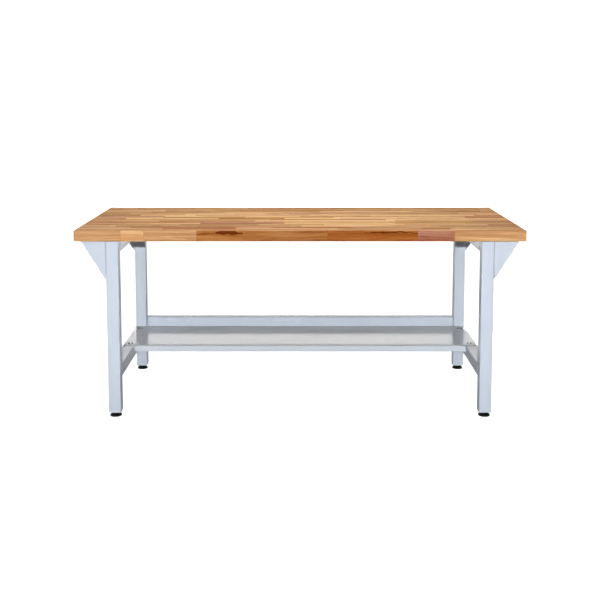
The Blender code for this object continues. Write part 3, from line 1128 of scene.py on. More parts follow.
    def heart_vein(self, sheet: NodeSheet, place: Socket, shifted: Socket, span: Socket,
                   vein: Socket) -> Socket:
        """One bowed vein of dark heartwood near the top of a stave.

        Args:
            sheet: The material's nodes.
            place: Object coordinates.
            shifted: Object coordinates moved by the stave's seed.
            span: Start, end and middle line of the stave.
            vein: How thick the vein is, 0 for none.

        Returns:
            Mask of the vein.
        """
        along, _, up = sheet.apart(place)
        start, end, _ = sheet.apart(span)
        share = sheet.math("DIVIDE", sheet.math("SUBTRACT", along, start),
                           sheet.math("SUBTRACT", end, start))
        from_crest = sheet.math("SUBTRACT", share, self.vein_crest)
        squared = sheet.math("MULTIPLY", from_crest, from_crest)
        rough = sheet.noise(sheet.stretched(shifted, self.vein_ragged_grain), detail=4.0,
                            roughness=0.65)
        ragged = sheet.spread(rough, -self.vein_ragged, self.vein_ragged)
        line = sheet.math("SUBTRACT", self.top_height - self.vein_drop,
                          sheet.math("MULTIPLY", squared, self.vein_bow))
        apart = sheet.math("ABSOLUTE", sheet.math("SUBTRACT", sheet.math("ADD", up, ragged),
                                                  line))
        belly = sheet.ramp(squared, 0.0, 0.10, 1.0, 0.12)
        half = sheet.math("MULTIPLY", sheet.math("MULTIPLY", vein, belly), self.vein_half)
        inside = sheet.math("DIVIDE", sheet.math("SUBTRACT", half, apart), self.vein_edge)
        reach = sheet.math("ADD", inside, 0.6, clamp=True)
        return sheet.math("MULTIPLY", reach, sheet.math("GREATER_THAN", vein, 0.01))

    def glue_lines(self, sheet: NodeSheet, place: Socket, span: Socket, row: Socket) -> Socket:
        """Hairline joints between staves.

        Args:
            sheet: The material's nodes.
            place: Object coordinates.
            span: Ends of the stave's joints along X, and its middle line.
            row: Near and far joint of its row along Y.

        Returns:
            Mask of the joints.
        """
        along, across, _ = sheet.apart(place)
        start, end, _ = sheet.apart(span)
        near, far, _ = sheet.apart(row)
        gaps = [sheet.math("ABSOLUTE", sheet.math("SUBTRACT", here, joint))
                for here, joint in ((along, start), (along, end), (across, near), (across, far))]
        nearest = sheet.math("MINIMUM", sheet.math("MINIMUM", gaps[0], gaps[1]),
                             sheet.math("MINIMUM", gaps[2], gaps[3]))
        return sheet.ramp(nearest, *self.glue_width, 1.0, 0.0)


class Finishes:
    """Every finish of the bench, built once."""

    def __init__(self, slab: "SlabLayout") -> None:
        """Builds the materials.

        Args:
            slab: Layout of the top's staves.
        """
        effects = SharedEffects()
        frame_grey = (0.760, 0.790, 0.835)
        self.hardwood = OiledHardwood("oiled_hardwood", slab.high.z,
                                      (slab.low.z + slab.high.z) / 2).material(effects)
        self.leg = PowderCoat("leg_powder_coat", frame_grey).material(effects)
        self.gusset = PowderCoat("gusset_powder_coat", frame_grey).material(effects)
        self.upper_rail = PowderCoat("upper_rail_powder_coat", frame_grey).material(effects)
        self.lower_rail = PowderCoat("lower_rail_powder_coat", frame_grey).material(effects)
        self.stringer = PowderCoat("stringer_powder_coat", frame_grey, 0.26).material(effects)
        self.weld = PowderCoat("weld_powder_coat", frame_grey, 0.34, 0.00006).material(effects)
        self.shelf = PowderCoat("shelf_powder_coat", (0.762, 0.785, 0.812), 0.16,
                                0.000005, 0.18).material(effects)
        self.nylon = MouldedNylon("black_nylon").material(effects)
        self.insert = MouldedNylon("insert_nylon", (0.16, 0.16, 0.165), 0.52).material(effects)
        self.zinc = PlatedSteel("zinc_plate", (0.78, 0.79, 0.80), (0.66, 0.68, 0.70)
                                ).material(effects)
        self.black_oxide = PlatedSteel("black_oxide", (0.16, 0.16, 0.17), (0.09, 0.09, 0.10),
                                       0.38).material(effects)


# --------------------------------------------------------------------------------------
# The top
# --------------------------------------------------------------------------------------

@dataclass
class Stave:
    """One glued stave of the top."""

    start: float
    end: float
    row: int
    tone: Triple
    figure: float
    vein: float
    seed: Triple


@dataclass
class SlabLayout:
    """How the top's staves are laid out, from its CAD box."""

    rows: int = 20
    shortest: float = 0.20
    longest: float = 0.52
    random_seed: int = 41
    first_cut: float = 0.25
    offcut: float = 0.05
    shade_spread: float = 0.025
    figures: Tuple[float, ...] = (0.0, 0.1, 0.2, 0.3, 0.5, 0.8)
    weights: Tuple[float, ...] = (0.12, 0.10, 0.13, 0.16, 0.10, 0.08, 0.08, 0.09, 0.08, 0.04,
                                  0.02, 0.0)
    clear: float = 0.010
    # Share of straw blended into the front row's upper faces: a painted highlight along the front
    # arris.
    pale_crown: float = 0.80
    low: Vector = field(default_factory=lambda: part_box("butcher_block_top")[0])
    high: Vector = field(default_factory=lambda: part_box("butcher_block_top")[1])
    front_row: Tuple[Choice, ...] = (
        (0.190, Tone.HONEY, 0.05, 0.0), (0.093, Tone.CREAM, 0.0, 0.0),
        (0.214, Tone.STRAW, 0.05, 0.0), (0.186, Tone.BROWN, 0.85, 1.0),
        (0.343, Tone.AMBER, 0.35, 0.0), (0.364, Tone.RUSSET, 0.40, 0.35),
        (0.149, Tone.MAROON, 0.40, 0.0), (0.290, Tone.HONEY, 0.0, 0.0))
    second_row: Tuple[Choice, ...] = (
        (0.352, Tone.STRAW, 0.0, 0.0), (0.300, Tone.AMBER, 0.3, 0.0),
        (0.415, Tone.STRAW, 0.0, 0.0), (0.347, Tone.TAN, 0.1, 0.0),
        (0.115, Tone.BROWN, 0.4, 0.0), (0.299, Tone.STRAW, 0.0, 0.0))

    @property
    def row_width(self) -> float:
        """Width of one row of staves."""
        return (self.high.y - self.low.y) / self.rows

    def row_at(self, depth: float) -> int:
        """Index of the row at a place along Y."""
        row = int((depth - self.low.y) / self.row_width)
        return min(max(row, 0), self.rows - 1)

    def lane(self, row: int) -> Triple:
        """Near joint, middle line and far joint of a row, its outer sides moved clear.

        Args:
            row: Index of the row from the front.

        Returns:
            The three places along Y.
        """
        near = self.low.y + row * self.row_width
        far = near + self.row_width
        middle = (near + far) / 2
        if row == 0:
            near -= self.clear
        if row == self.rows - 1:
            far += self.clear
        return near, middle, far

    def upper_tone(self, stave: Stave) -> Triple:
        """Colour of a stave's upper face: on the front row it is blended towards straw, a painted
        highlight along the front arris.

        Args:
            stave: The stave.

        Returns:
            The colour, in sRGB.
        """
        if stave.row:
            return stave.tone
        return tuple(own + (pale - own) * self.pale_crown
                     for own, pale in zip(stave.tone, Tone.STRAW.value))

    def joints(self, stave: Stave) -> Tuple[float, float]:
        """Places of a stave's end joints along X, the slab's own ends moved clear.

        Args:
            stave: The stave.

        Returns:
            Its start and its end.
        """
        start = stave.start - self.clear if stave.start < self.low.x + 1e-6 else stave.start
        end = stave.end + self.clear if stave.end > self.high.x - 1e-6 else stave.end
        return start, end

    def staves(self) -> List[Stave]:
        """Lays out every row.

        Returns:
            The staves from the front row to the rear row.
        """
        dice = random.Random(self.random_seed)
        laid = []
        for row in range(self.rows):
            laid.extend(self.lay_row(row, dice))
        return laid

    def lay_row(self, row: int, dice: random.Random) -> List[Stave]:
        """Lays out one row from left to right.

        Args:
            row: Index of the row from the front.
            dice: Source of random numbers.

        Returns:
            The row's staves.
        """
        chosen = {0: self.front_row, 1: self.second_row}.get(row) or self.random_row(dice)
        total = sum(choice[0] for choice in chosen)
        scale = (self.high.x - self.low.x) / total
        start = self.low.x
        staves = []
        for length, tone, figure, vein in chosen:
            end = start + length * scale
            shade = 1.0 + dice.uniform(-self.shade_spread, self.shade_spread)
            colour = tuple(min(1.0, value * shade) for value in tone.value)
            seed = (dice.random(), dice.random(), dice.random())
            staves.append(Stave(start, end, row, colour, figure, vein, seed))
            start = end
        return staves

    def random_row(self, dice: random.Random) -> List[Choice]:
        """Draws lengths, tones and figures that fill a row.

        Args:
            dice: Source of random numbers.

        Returns:
            Length, tone, figure and vein of each stave.
        """
        tones = list(Tone)
        full = self.high.x - self.low.x
        row = []
        used = dice.uniform(-self.first_cut, 0.0)
        while full - used > self.offcut:
            length = dice.uniform(self.shortest, self.longest)
            visible = min(used + length, full) - max(used, 0.0)
            used += length
            if visible > self.offcut:
                figure = dice.choice(self.figures)
                row.append((visible, dice.choices(tones, self.weights)[0], figure, 0.0))
        return row


@dataclass
class ButcherBlockTop:
    """The glued hardwood slab."""

    layout: SlabLayout
    arris: float = 0.0020
    arris_steps: int = 3
    pilot_radius: float = 0.0033
    pilot_depth: float = 0.0350

    def build(self, finishes: Finishes) -> None:
        """Models the slab, records its staves and dresses it.

        Args:
            finishes: The bench's materials.
        """
        low, high = self.layout.low, self.layout.high
        slab = block("butcher_block_slab", low, high)
        with Shaping(slab) as shape:
            shape.everything()
            shape.bevel(self.arris, self.arris_steps)
        combined(slab, self.pilot_drills())
        staves = self.layout.staves()
        with Shaping(slab) as shape:
            for row in range(1, self.layout.rows):
                shape.everything()
                shape.slice((0.0, low.y + row * self.layout.row_width, 0.0), (0.0, 1.0, 0.0))
            for stave in staves:
                if stave.start > low.x + self.arris:
                    shape.pick(Pick.FACES, self.in_row(stave.row))
                    shape.slice((stave.start, 0.0, 0.0), (1.0, 0.0, 0.0))
            shape.tidy()
        settle(slab)
        self.mark_staves(slab, staves)
        fit_out(slab, finishes.hardwood, "table", "butcher_block", "butcher_block_top")

    def pilot_drills(self) -> List[bpy.types.Object]:
        """Cutters for the lag screws' pilot holes, where the CAD screws stand.

        Returns:
            The cutters.
        """
        under = self.layout.low.z
        return [drill(name, self.pilot_radius, under - CLEAR, under + self.pilot_depth, sides=16)
                for name in nodes_named("gusset_screw", "rail_screw")]

    def in_row(self, row: int) -> Rule:
        """Rule for faces that belong to a row of staves."""
        return lambda face: self.layout.row_at(face.calc_center_median().y) == row

    def mark_staves(self, slab: bpy.types.Object, staves: List[Stave]) -> None:
        """Writes each face's stave into the mesh, for the finish to read.

        Args:
            slab: The finished slab.
            staves: Every stave.
        """
        mesh = slab.data
        rows: Dict[int, List[Stave]] = {}
        for stave in staves:
            rows.setdefault(stave.row, []).append(stave)
        kinds = {"stave_tone": "FLOAT_COLOR", "stave_seed": "FLOAT_VECTOR",
                 "stave_span": "FLOAT_VECTOR", "stave_trait": "FLOAT_VECTOR",
                 "stave_row": "FLOAT_VECTOR"}
        for name, kind in kinds.items():
            mesh.attributes.new(name, kind, "CORNER")
        tone, seed, span, trait, lane = (mesh.attributes[name] for name in kinds)
        for face in mesh.polygons:
            row = self.layout.row_at(face.center.y)
            near, middle, far = self.layout.lane(row)
            mine = next((s for s in rows[row] if face.center.x <= s.end), rows[row][-1])
            end_grain = 1.0 if abs(face.normal.x) > 0.7 else 0.0
            faces_up = face.normal.z > 0.3
            # The front row's upper faces take a paler tone and little figure: a painted highlight
            # along the front arris.
            shade = linear(self.layout.upper_tone(mine) if faces_up else mine.tone)
            figure, vein = (0.1, 0.0) if faces_up and row == 0 else (mine.figure, mine.vein)
            for corner in face.loop_indices:
                tone.data[corner].color = shade
                seed.data[corner].vector = mine.seed
                span.data[corner].vector = (*self.layout.joints(mine), middle)
                lane.data[corner].vector = (near, far, 0.0)
                trait.data[corner].vector = (figure, vein, end_grain)


# --------------------------------------------------------------------------------------
# The frame
# --------------------------------------------------------------------------------------

@dataclass
class EndFrames:
    """Legs, gussets and rails of both end frames, modelled for the right-hand end."""

    wall: float = 0.0020
    tube_corner: float = 0.0040
    tube_steps: int = 6
    bend: float = 0.0045
    bend_steps: int = 5
    gusset_tip: float = 0.0040
    screw_hole: float = 0.0033
    access_hole: float = 0.0100
    access_stop: float = 0.0160
    rivet_hole: float = 0.0053
    shelf_screw_hole: float = 0.0027
    bead_radius: float = 0.0022
    bead_pitch: float = 0.0032
    bead_swell: float = 0.14
    bead_tip: float = 0.45
    bead_run_out: float = 0.004
    bead_cap: float = 0.4
    bead_inset: float = 0.007
    bead_sink: Tuple[float, float] = (0.0006, 0.0004)

    def build(self, finishes: Finishes) -> None:
        """Builds every piece of both end frames.

        Args:
            finishes: The bench's materials.
        """
        self.build_legs(finishes.leg)
        self.build_gussets(finishes.gusset)
        self.build_upper_rails(finishes.upper_rail)
        self.build_lower_rails(finishes.lower_rail)
        self.build_welds(finishes.weld)

    def tube(self, name: str, low: Vector, high: Vector) -> bpy.types.Object:
        """Upright square tube with round corners, open at both ends.

        Args:
            name: Name of the piece.
            low: Lowest corner.
            high: Highest corner.

        Returns:
            The tube.
        """
        piece = block(name, low, high)
        ends = any_of(faces_towards(Axis.Z, 1), faces_towards(Axis.Z, -1))
        with Shaping(piece) as shape:
            shape.pick(Pick.EDGES, runs_along(Axis.Z))
            shape.bevel(self.tube_corner, self.tube_steps)
            shape.pick(Pick.FACES, ends)
            shape.inset(self.wall)
            shape.remove()
            shape.pick(Pick.EDGES, lambda edge: edge.is_boundary)
            shape.bridge()
            shape.tidy()
        return piece

    def build_legs(self, material: bpy.types.Material) -> None:
        """Front legs, and rear legs with the holes for their rivet nuts.

        Args:
            material: Their finish.
        """
        for depth in Depth:
            source = f"leg_{depth.word}_right"
            low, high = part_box(source)
            leg = self.tube(f"tube_{source}", low, high)
            if depth is Depth.REAR:
                combined(leg, self.rivet_drills(low))
            settle(leg)
            copy = copied(leg, f"tube_leg_{depth.word}_left", MIRROR_X)
            fit_out(leg, material, "table", "leg_powder_coat", source)
            fit_out(copy, material, "table", "leg_powder_coat", f"leg_{depth.word}_left")

    def rivet_drills(self, low: Vector) -> List[bpy.types.Object]:
        """Cutters for the rivet nut holes in the right rear leg's inner side."""
        return [drill(name, self.rivet_hole, low.x - CLEAR, low.x + CLEAR, sides=32, axis=Axis.X)
                for name in nodes_named("rivet_nut_right")]

    def build_gussets(self, material: bpy.types.Material) -> None:
        """Folded wedges that carry the overhang of the top.

        Args:
            material: Their finish.
        """
        low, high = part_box("gusset_front_right")
        wedge = block("folded_gusset_front_right", low, high)
        rise = (high.z - self.gusset_tip) - low.z
        run = high.x - (low.x + self.gusset_tip)
        slope = Vector((run, 0.0, rise)).normalized()
        outward = (slope.z, 0.0, -slope.x)
        with Shaping(wedge) as shape:
            shape.everything()
            shape.slice((high.x, 0.0, high.z - self.gusset_tip), outward, trim=True)
            shape.pick(Pick.EDGES, runs_with(slope))
            shape.bevel(self.bend - 0.001, self.bend_steps)
            shape.pick(Pick.FACES, faces_towards(Axis.X, -1))
            shape.remove()
        applied(wedge, "SOLIDIFY", thickness=self.wall, offset=-1.0, use_even_offset=True,
                use_quality_normals=True)
        screw = "gusset_screw_front_right"
        combined(wedge, [
            drill(screw, self.screw_hole, high.z - CLEAR, high.z + CLEAR, sides=24),
            drill(screw, self.access_hole, low.z, high.z - self.access_stop, sides=40)])
        settle(wedge)
        changes = {"front_left": MIRROR_X, "rear_right": MIRROR_Y,
                   "rear_left": MIRROR_X @ MIRROR_Y}
        for corner, change in changes.items():
            copy = copied(wedge, f"folded_gusset_{corner}", change)
            fit_out(copy, material, "table", "gusset_powder_coat", f"gusset_{corner}")
        fit_out(wedge, material, "table", "gusset_powder_coat", "gusset_front_right")

    def channel(self, name: str, low: Vector, high: Vector) -> bpy.types.Object:
        """Folded channel along Y that is open below and at its ends.

        Args:
            name: Name of the piece.
            low: Lowest corner.
            high: Highest corner.

        Returns:
            The channel.
        """
        piece = block(name, low, high)
        with Shaping(piece) as shape:
            shape.pick(Pick.EDGES, all_of(runs_along(Axis.Y), lies_at(Axis.Z, high.z)))
            shape.bevel(self.bend, self.bend_steps)
            shape.pick(Pick.FACES, any_of(faces_towards(Axis.Z, -1), faces_towards(Axis.Y, 1),
                                          faces_towards(Axis.Y, -1)))
            shape.remove()
        return applied(piece, "SOLIDIFY", thickness=self.wall, offset=-1.0, use_even_offset=True)

    def build_upper_rails(self, material: bpy.types.Material) -> None:
        """Rails under the top, drilled for their lag screws.

        Args:
            material: Their finish.
        """
        screws = [f"rail_screw_{depth.word}_right" for depth in Depth]
        self.build_rails("upper", material, screws, self.screw_hole, sides=24)

    def build_lower_rails(self, material: bpy.types.Material) -> None:
        """Rails under the ends of the shelf, drilled for its screws.

        Args:
            material: Their finish.
        """
        screws = [f"shelf_screw_{depth.word}_right_{row}" for depth in Depth
                  for row in ("inner", "outer")]
        self.build_rails("lower", material, screws, self.shelf_screw_hole, sides=20)

    def build_rails(self, level: str, material: bpy.types.Material, screws: List[str],
                    hole: float, sides: int) -> None:
        """Builds the right and left rail of one level.

        Args:
            level: Word for the level in the rails' names.
            material: Their finish.
            screws: CAD screws that pass the right rail.
            hole: Radius of the screws' holes.
            sides: Number of sides of each hole.
        """
        low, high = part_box(f"{level}_end_rail_right")
        rail = self.channel(f"folded_{level}_rail_right", low, high)
        settle(combined(rail, [drill(screw, hole, high.z - CLEAR, high.z + CLEAR, sides)
                               for screw in screws]))
        copy = copied(rail, f"folded_{level}_rail_left", MIRROR_X)
        for piece, side in ((rail, Side.RIGHT), (copy, Side.LEFT)):
            fit_out(piece, material, "table", f"{level}_rail_powder_coat",
                    f"{level}_end_rail_{side.word}")

    def bead(self, name: str, base: Vector, length: float) -> bpy.types.Object:
        """Upright weld bead with overlapping ripples.

        Args:
            name: Name of the piece.
            base: Its lower end.
            length: Its height.

        Returns:
            The bead.
        """
        piece = bar(name, self.bead_radius, base, length, sides=12)
        with Shaping(piece) as shape:
            shape.pick(Pick.EDGES, runs_along(Axis.Z))
            shape.subdivide(2 * int(length / (self.bead_pitch / 2)))
            shape.pick(Pick.FACES, any_of(faces_towards(Axis.Z, 1), faces_towards(Axis.Z, -1)))
            shape.inset(self.bead_radius * self.bead_cap)
        for point in piece.data.vertices:
            along = point.co.z - base.z
            ripple = math.cos(2 * math.pi * along / self.bead_pitch) - 1.0
            swell = 1.0 + self.bead_swell * ripple
            taper = min(1.0, self.bead_tip + min(along, length - along) / self.bead_run_out)
            point.co.x = base.x + (point.co.x - base.x) * swell * taper
            point.co.y = base.y + (point.co.y - base.y) * swell * taper
        return settle(piece, 60.0)

    def build_welds(self, material: bpy.types.Material) -> None:
        """Beads where the rails meet the legs, on the side that faces the bench's middle.

        Args:
            material: Their finish.
        """
        sink_x, sink_y = self.bead_sink
        for rail in ("upper", "lower"):
            low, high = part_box(f"{rail}_end_rail_right")
            base = Vector((low.x + sink_x, high.y - sink_y, low.z + self.bead_inset / 2))
            length = high.z - low.z - 2 * self.bead_inset
            bead = self.bead(f"weld_{rail}_rear_right", base, length)
            slot = f"{rail}_rail_powder_coat"
            for corner, change in (("rear_left", MIRROR_X), ("front_right", MIRROR_Y),
                                   ("front_left", MIRROR_X @ MIRROR_Y)):
                fit_out(copied(bead, f"weld_{rail}_{corner}", change), material, "table", slot)
            fit_out(bead, material, "table", slot)


@dataclass
class Shelf:
    """Sheet steel shelf with hemmed lips."""

    sheet: float = 0.0015
    bend: float = 0.0032
    bend_steps: int = 5
    hem: float = 0.0120
    notch_from: float = 0.7365
    notch_reach: float = 0.0180
    screw_hole: float = 0.0027

    def build(self, finishes: Finishes) -> None:
        """Models the shelf and dresses it.

        Args:
            finishes: The bench's materials.
        """
        low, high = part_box("lower_shelf")
        shelf = block("folded_shelf", low, high)
        with Shaping(shelf) as shape:
            shape.pick(Pick.FACES, any_of(faces_towards(Axis.Z, -1), faces_towards(Axis.X, 1),
                                          faces_towards(Axis.X, -1)))
            shape.remove()
            for y, inward in ((low.y, 1), (high.y, -1)):
                shape.pick(Pick.EDGES, all_of(runs_along(Axis.X), lies_at(Axis.Z, low.z),
                                              lies_at(Axis.Y, y)))
                shape.push((0.0, inward * self.hem, 0.0))
            at_faces = any_of(lies_at(Axis.Y, low.y), lies_at(Axis.Y, high.y))
            shape.pick(Pick.EDGES, all_of(runs_along(Axis.X), at_faces))
            shape.bevel(self.bend, self.bend_steps)
            shape.face_outwards()
        applied(shelf, "SOLIDIFY", thickness=self.sheet, offset=-1.0, use_even_offset=True)
        combined(shelf, self.notches(low, high) + self.drills(high))
        settle(shelf)
        fit_out(shelf, finishes.shelf, "table", "shelf_powder_coat", "lower_shelf")

    def notches(self, low: Vector, high: Vector) -> List[bpy.types.Object]:
        """Cutters that end the lips short of the rails.

        Args:
            low: Lowest corner of the shelf.
            high: Highest corner.

        Returns:
            The cutters.
        """
        under = high.z - self.sheet
        cutters = []
        for side in Side:
            start, end = sorted((side.value * self.notch_from,
                                 side.value * (high.x + 2 * CLEAR)))
            for y in (low.y, high.y):
                cutters.append(block("notch", (start, y - self.notch_reach, low.z - 2 * CLEAR),
                                     (end, y + self.notch_reach, under)))
        return cutters

    def drills(self, high: Vector) -> List[bpy.types.Object]:
        """Cutters for the screw holes, where the CAD screws stand."""
        return [drill(name, self.screw_hole, high.z - CLEAR, high.z + CLEAR, sides=20)
                for name in nodes_named("shelf_screw")]


@dataclass
class Stringer:
    """Folded channel between the rear legs, open to the rear, with drilled ends."""

    sheet: float = 0.0020
    bend: float = 0.0045
    bend_steps: int = 5
    bolt_hole: float = 0.0033

    def build(self, finishes: Finishes) -> None:
        """Models the stringer and dresses it.

        Args:
            finishes: The bench's materials.
        """
        low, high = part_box("rear_stringer")
        stringer = block("folded_stringer", low, high)
        with Shaping(stringer) as shape:
            shape.pick(Pick.FACES, faces_towards(Axis.Y, 1))
            shape.remove()
            shape.pick(Pick.EDGES, lies_at(Axis.Y, low.y))
            shape.bevel(self.bend, self.bend_steps)
        applied(stringer, "SOLIDIFY", thickness=self.sheet, offset=-1.0, use_even_offset=True,
                use_quality_normals=True)
        combined(stringer, [
            drill(name, self.bolt_hole, end - CLEAR, end + CLEAR, sides=24, axis=Axis.X)
            for side, end in ((Side.LEFT, low.x), (Side.RIGHT, high.x))
            for name in nodes_named(f"stringer_bolt_{side.word}")])
        settle(stringer)
        fit_out(stringer, finishes.stringer, "table", "stringer_powder_coat", "rear_stringer")


# --------------------------------------------------------------------------------------
# Feet and fasteners
# --------------------------------------------------------------------------------------

@dataclass
class LevellingFeet:
    """Pads, threaded studs and the square inserts they screw into."""

    shoulder_radius: float = 0.0205
    hub_radius: float = 0.0190
    flange: float = 0.0055
    bore_radius: float = 0.0053
    bore_floor: float = 0.0040
    rim_radius: float = 0.0009
    rim_steps: int = 3
    pitch: float = 0.0015
    thread_depth: float = 0.0009
    crest: float = 1.35
    flank: float = 2.9
    chamfer: float = 0.0012
    stud_sides: int = 32
    rows_per_turn: int = 6

    def build(self, finishes: Finishes) -> None:
        """Builds the four feet.

        Args:
            finishes: The bench's materials.
        """
        pad = self.pad()
        stud = self.stud()
        home_low, home_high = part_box("foot_pad_front_right")
        home = (home_low + home_high) / 2
        for corner in corners():
            low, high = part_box(f"foot_pad_{corner}")
            place = (low + high) / 2
            move = Matrix.Translation((place.x - home.x, place.y - home.y, 0.0))
            fit_out(copied(pad, f"moulded_pad_{corner}", move), finishes.nylon,
                    f"pad_{corner}", "pad_nylon", f"foot_pad_{corner}")
            fit_out(copied(stud, f"threaded_stud_{corner}", move), finishes.zinc,
                    f"stud_{corner}", "stud_zinc", f"foot_stud_{corner}")
            dress_kept(f"leg_insert_{corner}", finishes.insert)
        bpy.data.objects.remove(pad, do_unlink=True)
        bpy.data.objects.remove(stud, do_unlink=True)

    def pad(self) -> bpy.types.Object:
        """Moulded pad with a flange, a tapered hub and a socket.

        Returns:
            The pad of the right front foot.
        """
        low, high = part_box("foot_pad_front_right")
        centre = (low + high) / 2
        radius = (high.x - low.x) / 2
        middle = (centre.x, centre.y, 0.0)
        piece = bar("pad", radius, (centre.x, centre.y, low.z), self.flange, sides=64)
        top = all_of(faces_towards(Axis.Z, 1), lambda face: face.calc_area() > 1e-5)
        with Shaping(piece) as shape:
            shape.pick(Pick.FACES, top)
            shape.inset(radius - self.shoulder_radius)
            shape.push((0.0, 0.0, high.z - self.flange))
            shape.grow(self.hub_radius / self.shoulder_radius, middle)
            shape.inset(self.hub_radius - self.bore_radius)
            shape.push((0.0, 0.0, self.bore_floor - high.z))
            shape.pick(Pick.EDGES, all_of(self.round_the_hub(centre), any_of(
                *[lies_at(Axis.Z, z) for z in (low.z, self.flange, high.z)])))
            shape.bevel(self.rim_radius, self.rim_steps)
            shape.tidy()
        return settle(piece)

    def round_the_hub(self, centre: Vector) -> Rule:
        """Rule for edges that run round a pad, outside its socket.

        Args:
            centre: Middle of the pad.

        Returns:
            The rule.
        """
        def rule(edge: bmesh.types.BMEdge) -> bool:
            """Whether both ends of an edge lie equally far out, beyond the socket."""
            start, end = ((point.co - centre).xy.length for point in edge.verts)
            return min(start, end) > self.bore_radius + 0.001 and abs(start - end) < 1e-5
        return rule

    def stud(self) -> bpy.types.Object:
        """Stud with a rolled thread and chamfered ends.

        Returns:
            The stud of the right front foot.
        """
        low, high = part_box("foot_stud_front_right")
        centre = (low + high) / 2
        radius = (high.x - low.x) / 2
        length = high.z - low.z
        piece = bar("stud", radius, (centre.x, centre.y, low.z), length, self.stud_sides)
        with Shaping(piece) as shape:
            shape.pick(Pick.EDGES, runs_along(Axis.Z))
            shape.subdivide(int(length / self.pitch * self.rows_per_turn))
        for point in piece.data.vertices:
            self.cut_thread(point, centre, radius, low.z, high.z)
        return settle(piece, 70.0)

    def cut_thread(self, point: bpy.types.MeshVertex, centre: Vector, radius: float,
                   bottom: float, top: float) -> None:
        """Moves one point of the stud onto the thread.

        Args:
            point: The point to move.
            centre: Middle of the stud.
            radius: Outer radius.
            bottom: Height of its lower end.
            top: Height of its upper end.
        """
        offset = (point.co - centre).xy
        angle = math.atan2(offset.y, offset.x) / (2 * math.pi)
        phase = ((point.co.z - bottom) / self.pitch - angle) % 1.0
        ridge = min(1.0, max(0.0, self.crest - self.flank * abs(phase - 0.5)))
        chamfer = min(1.0, min(point.co.z - bottom, top - point.co.z) / self.chamfer)
        reach = radius - self.thread_depth * (1.0 - ridge * chamfer)
        scaled = offset.normalized() * reach
        point.co.x = centre.x + scaled.x
        point.co.y = centre.y + scaled.y


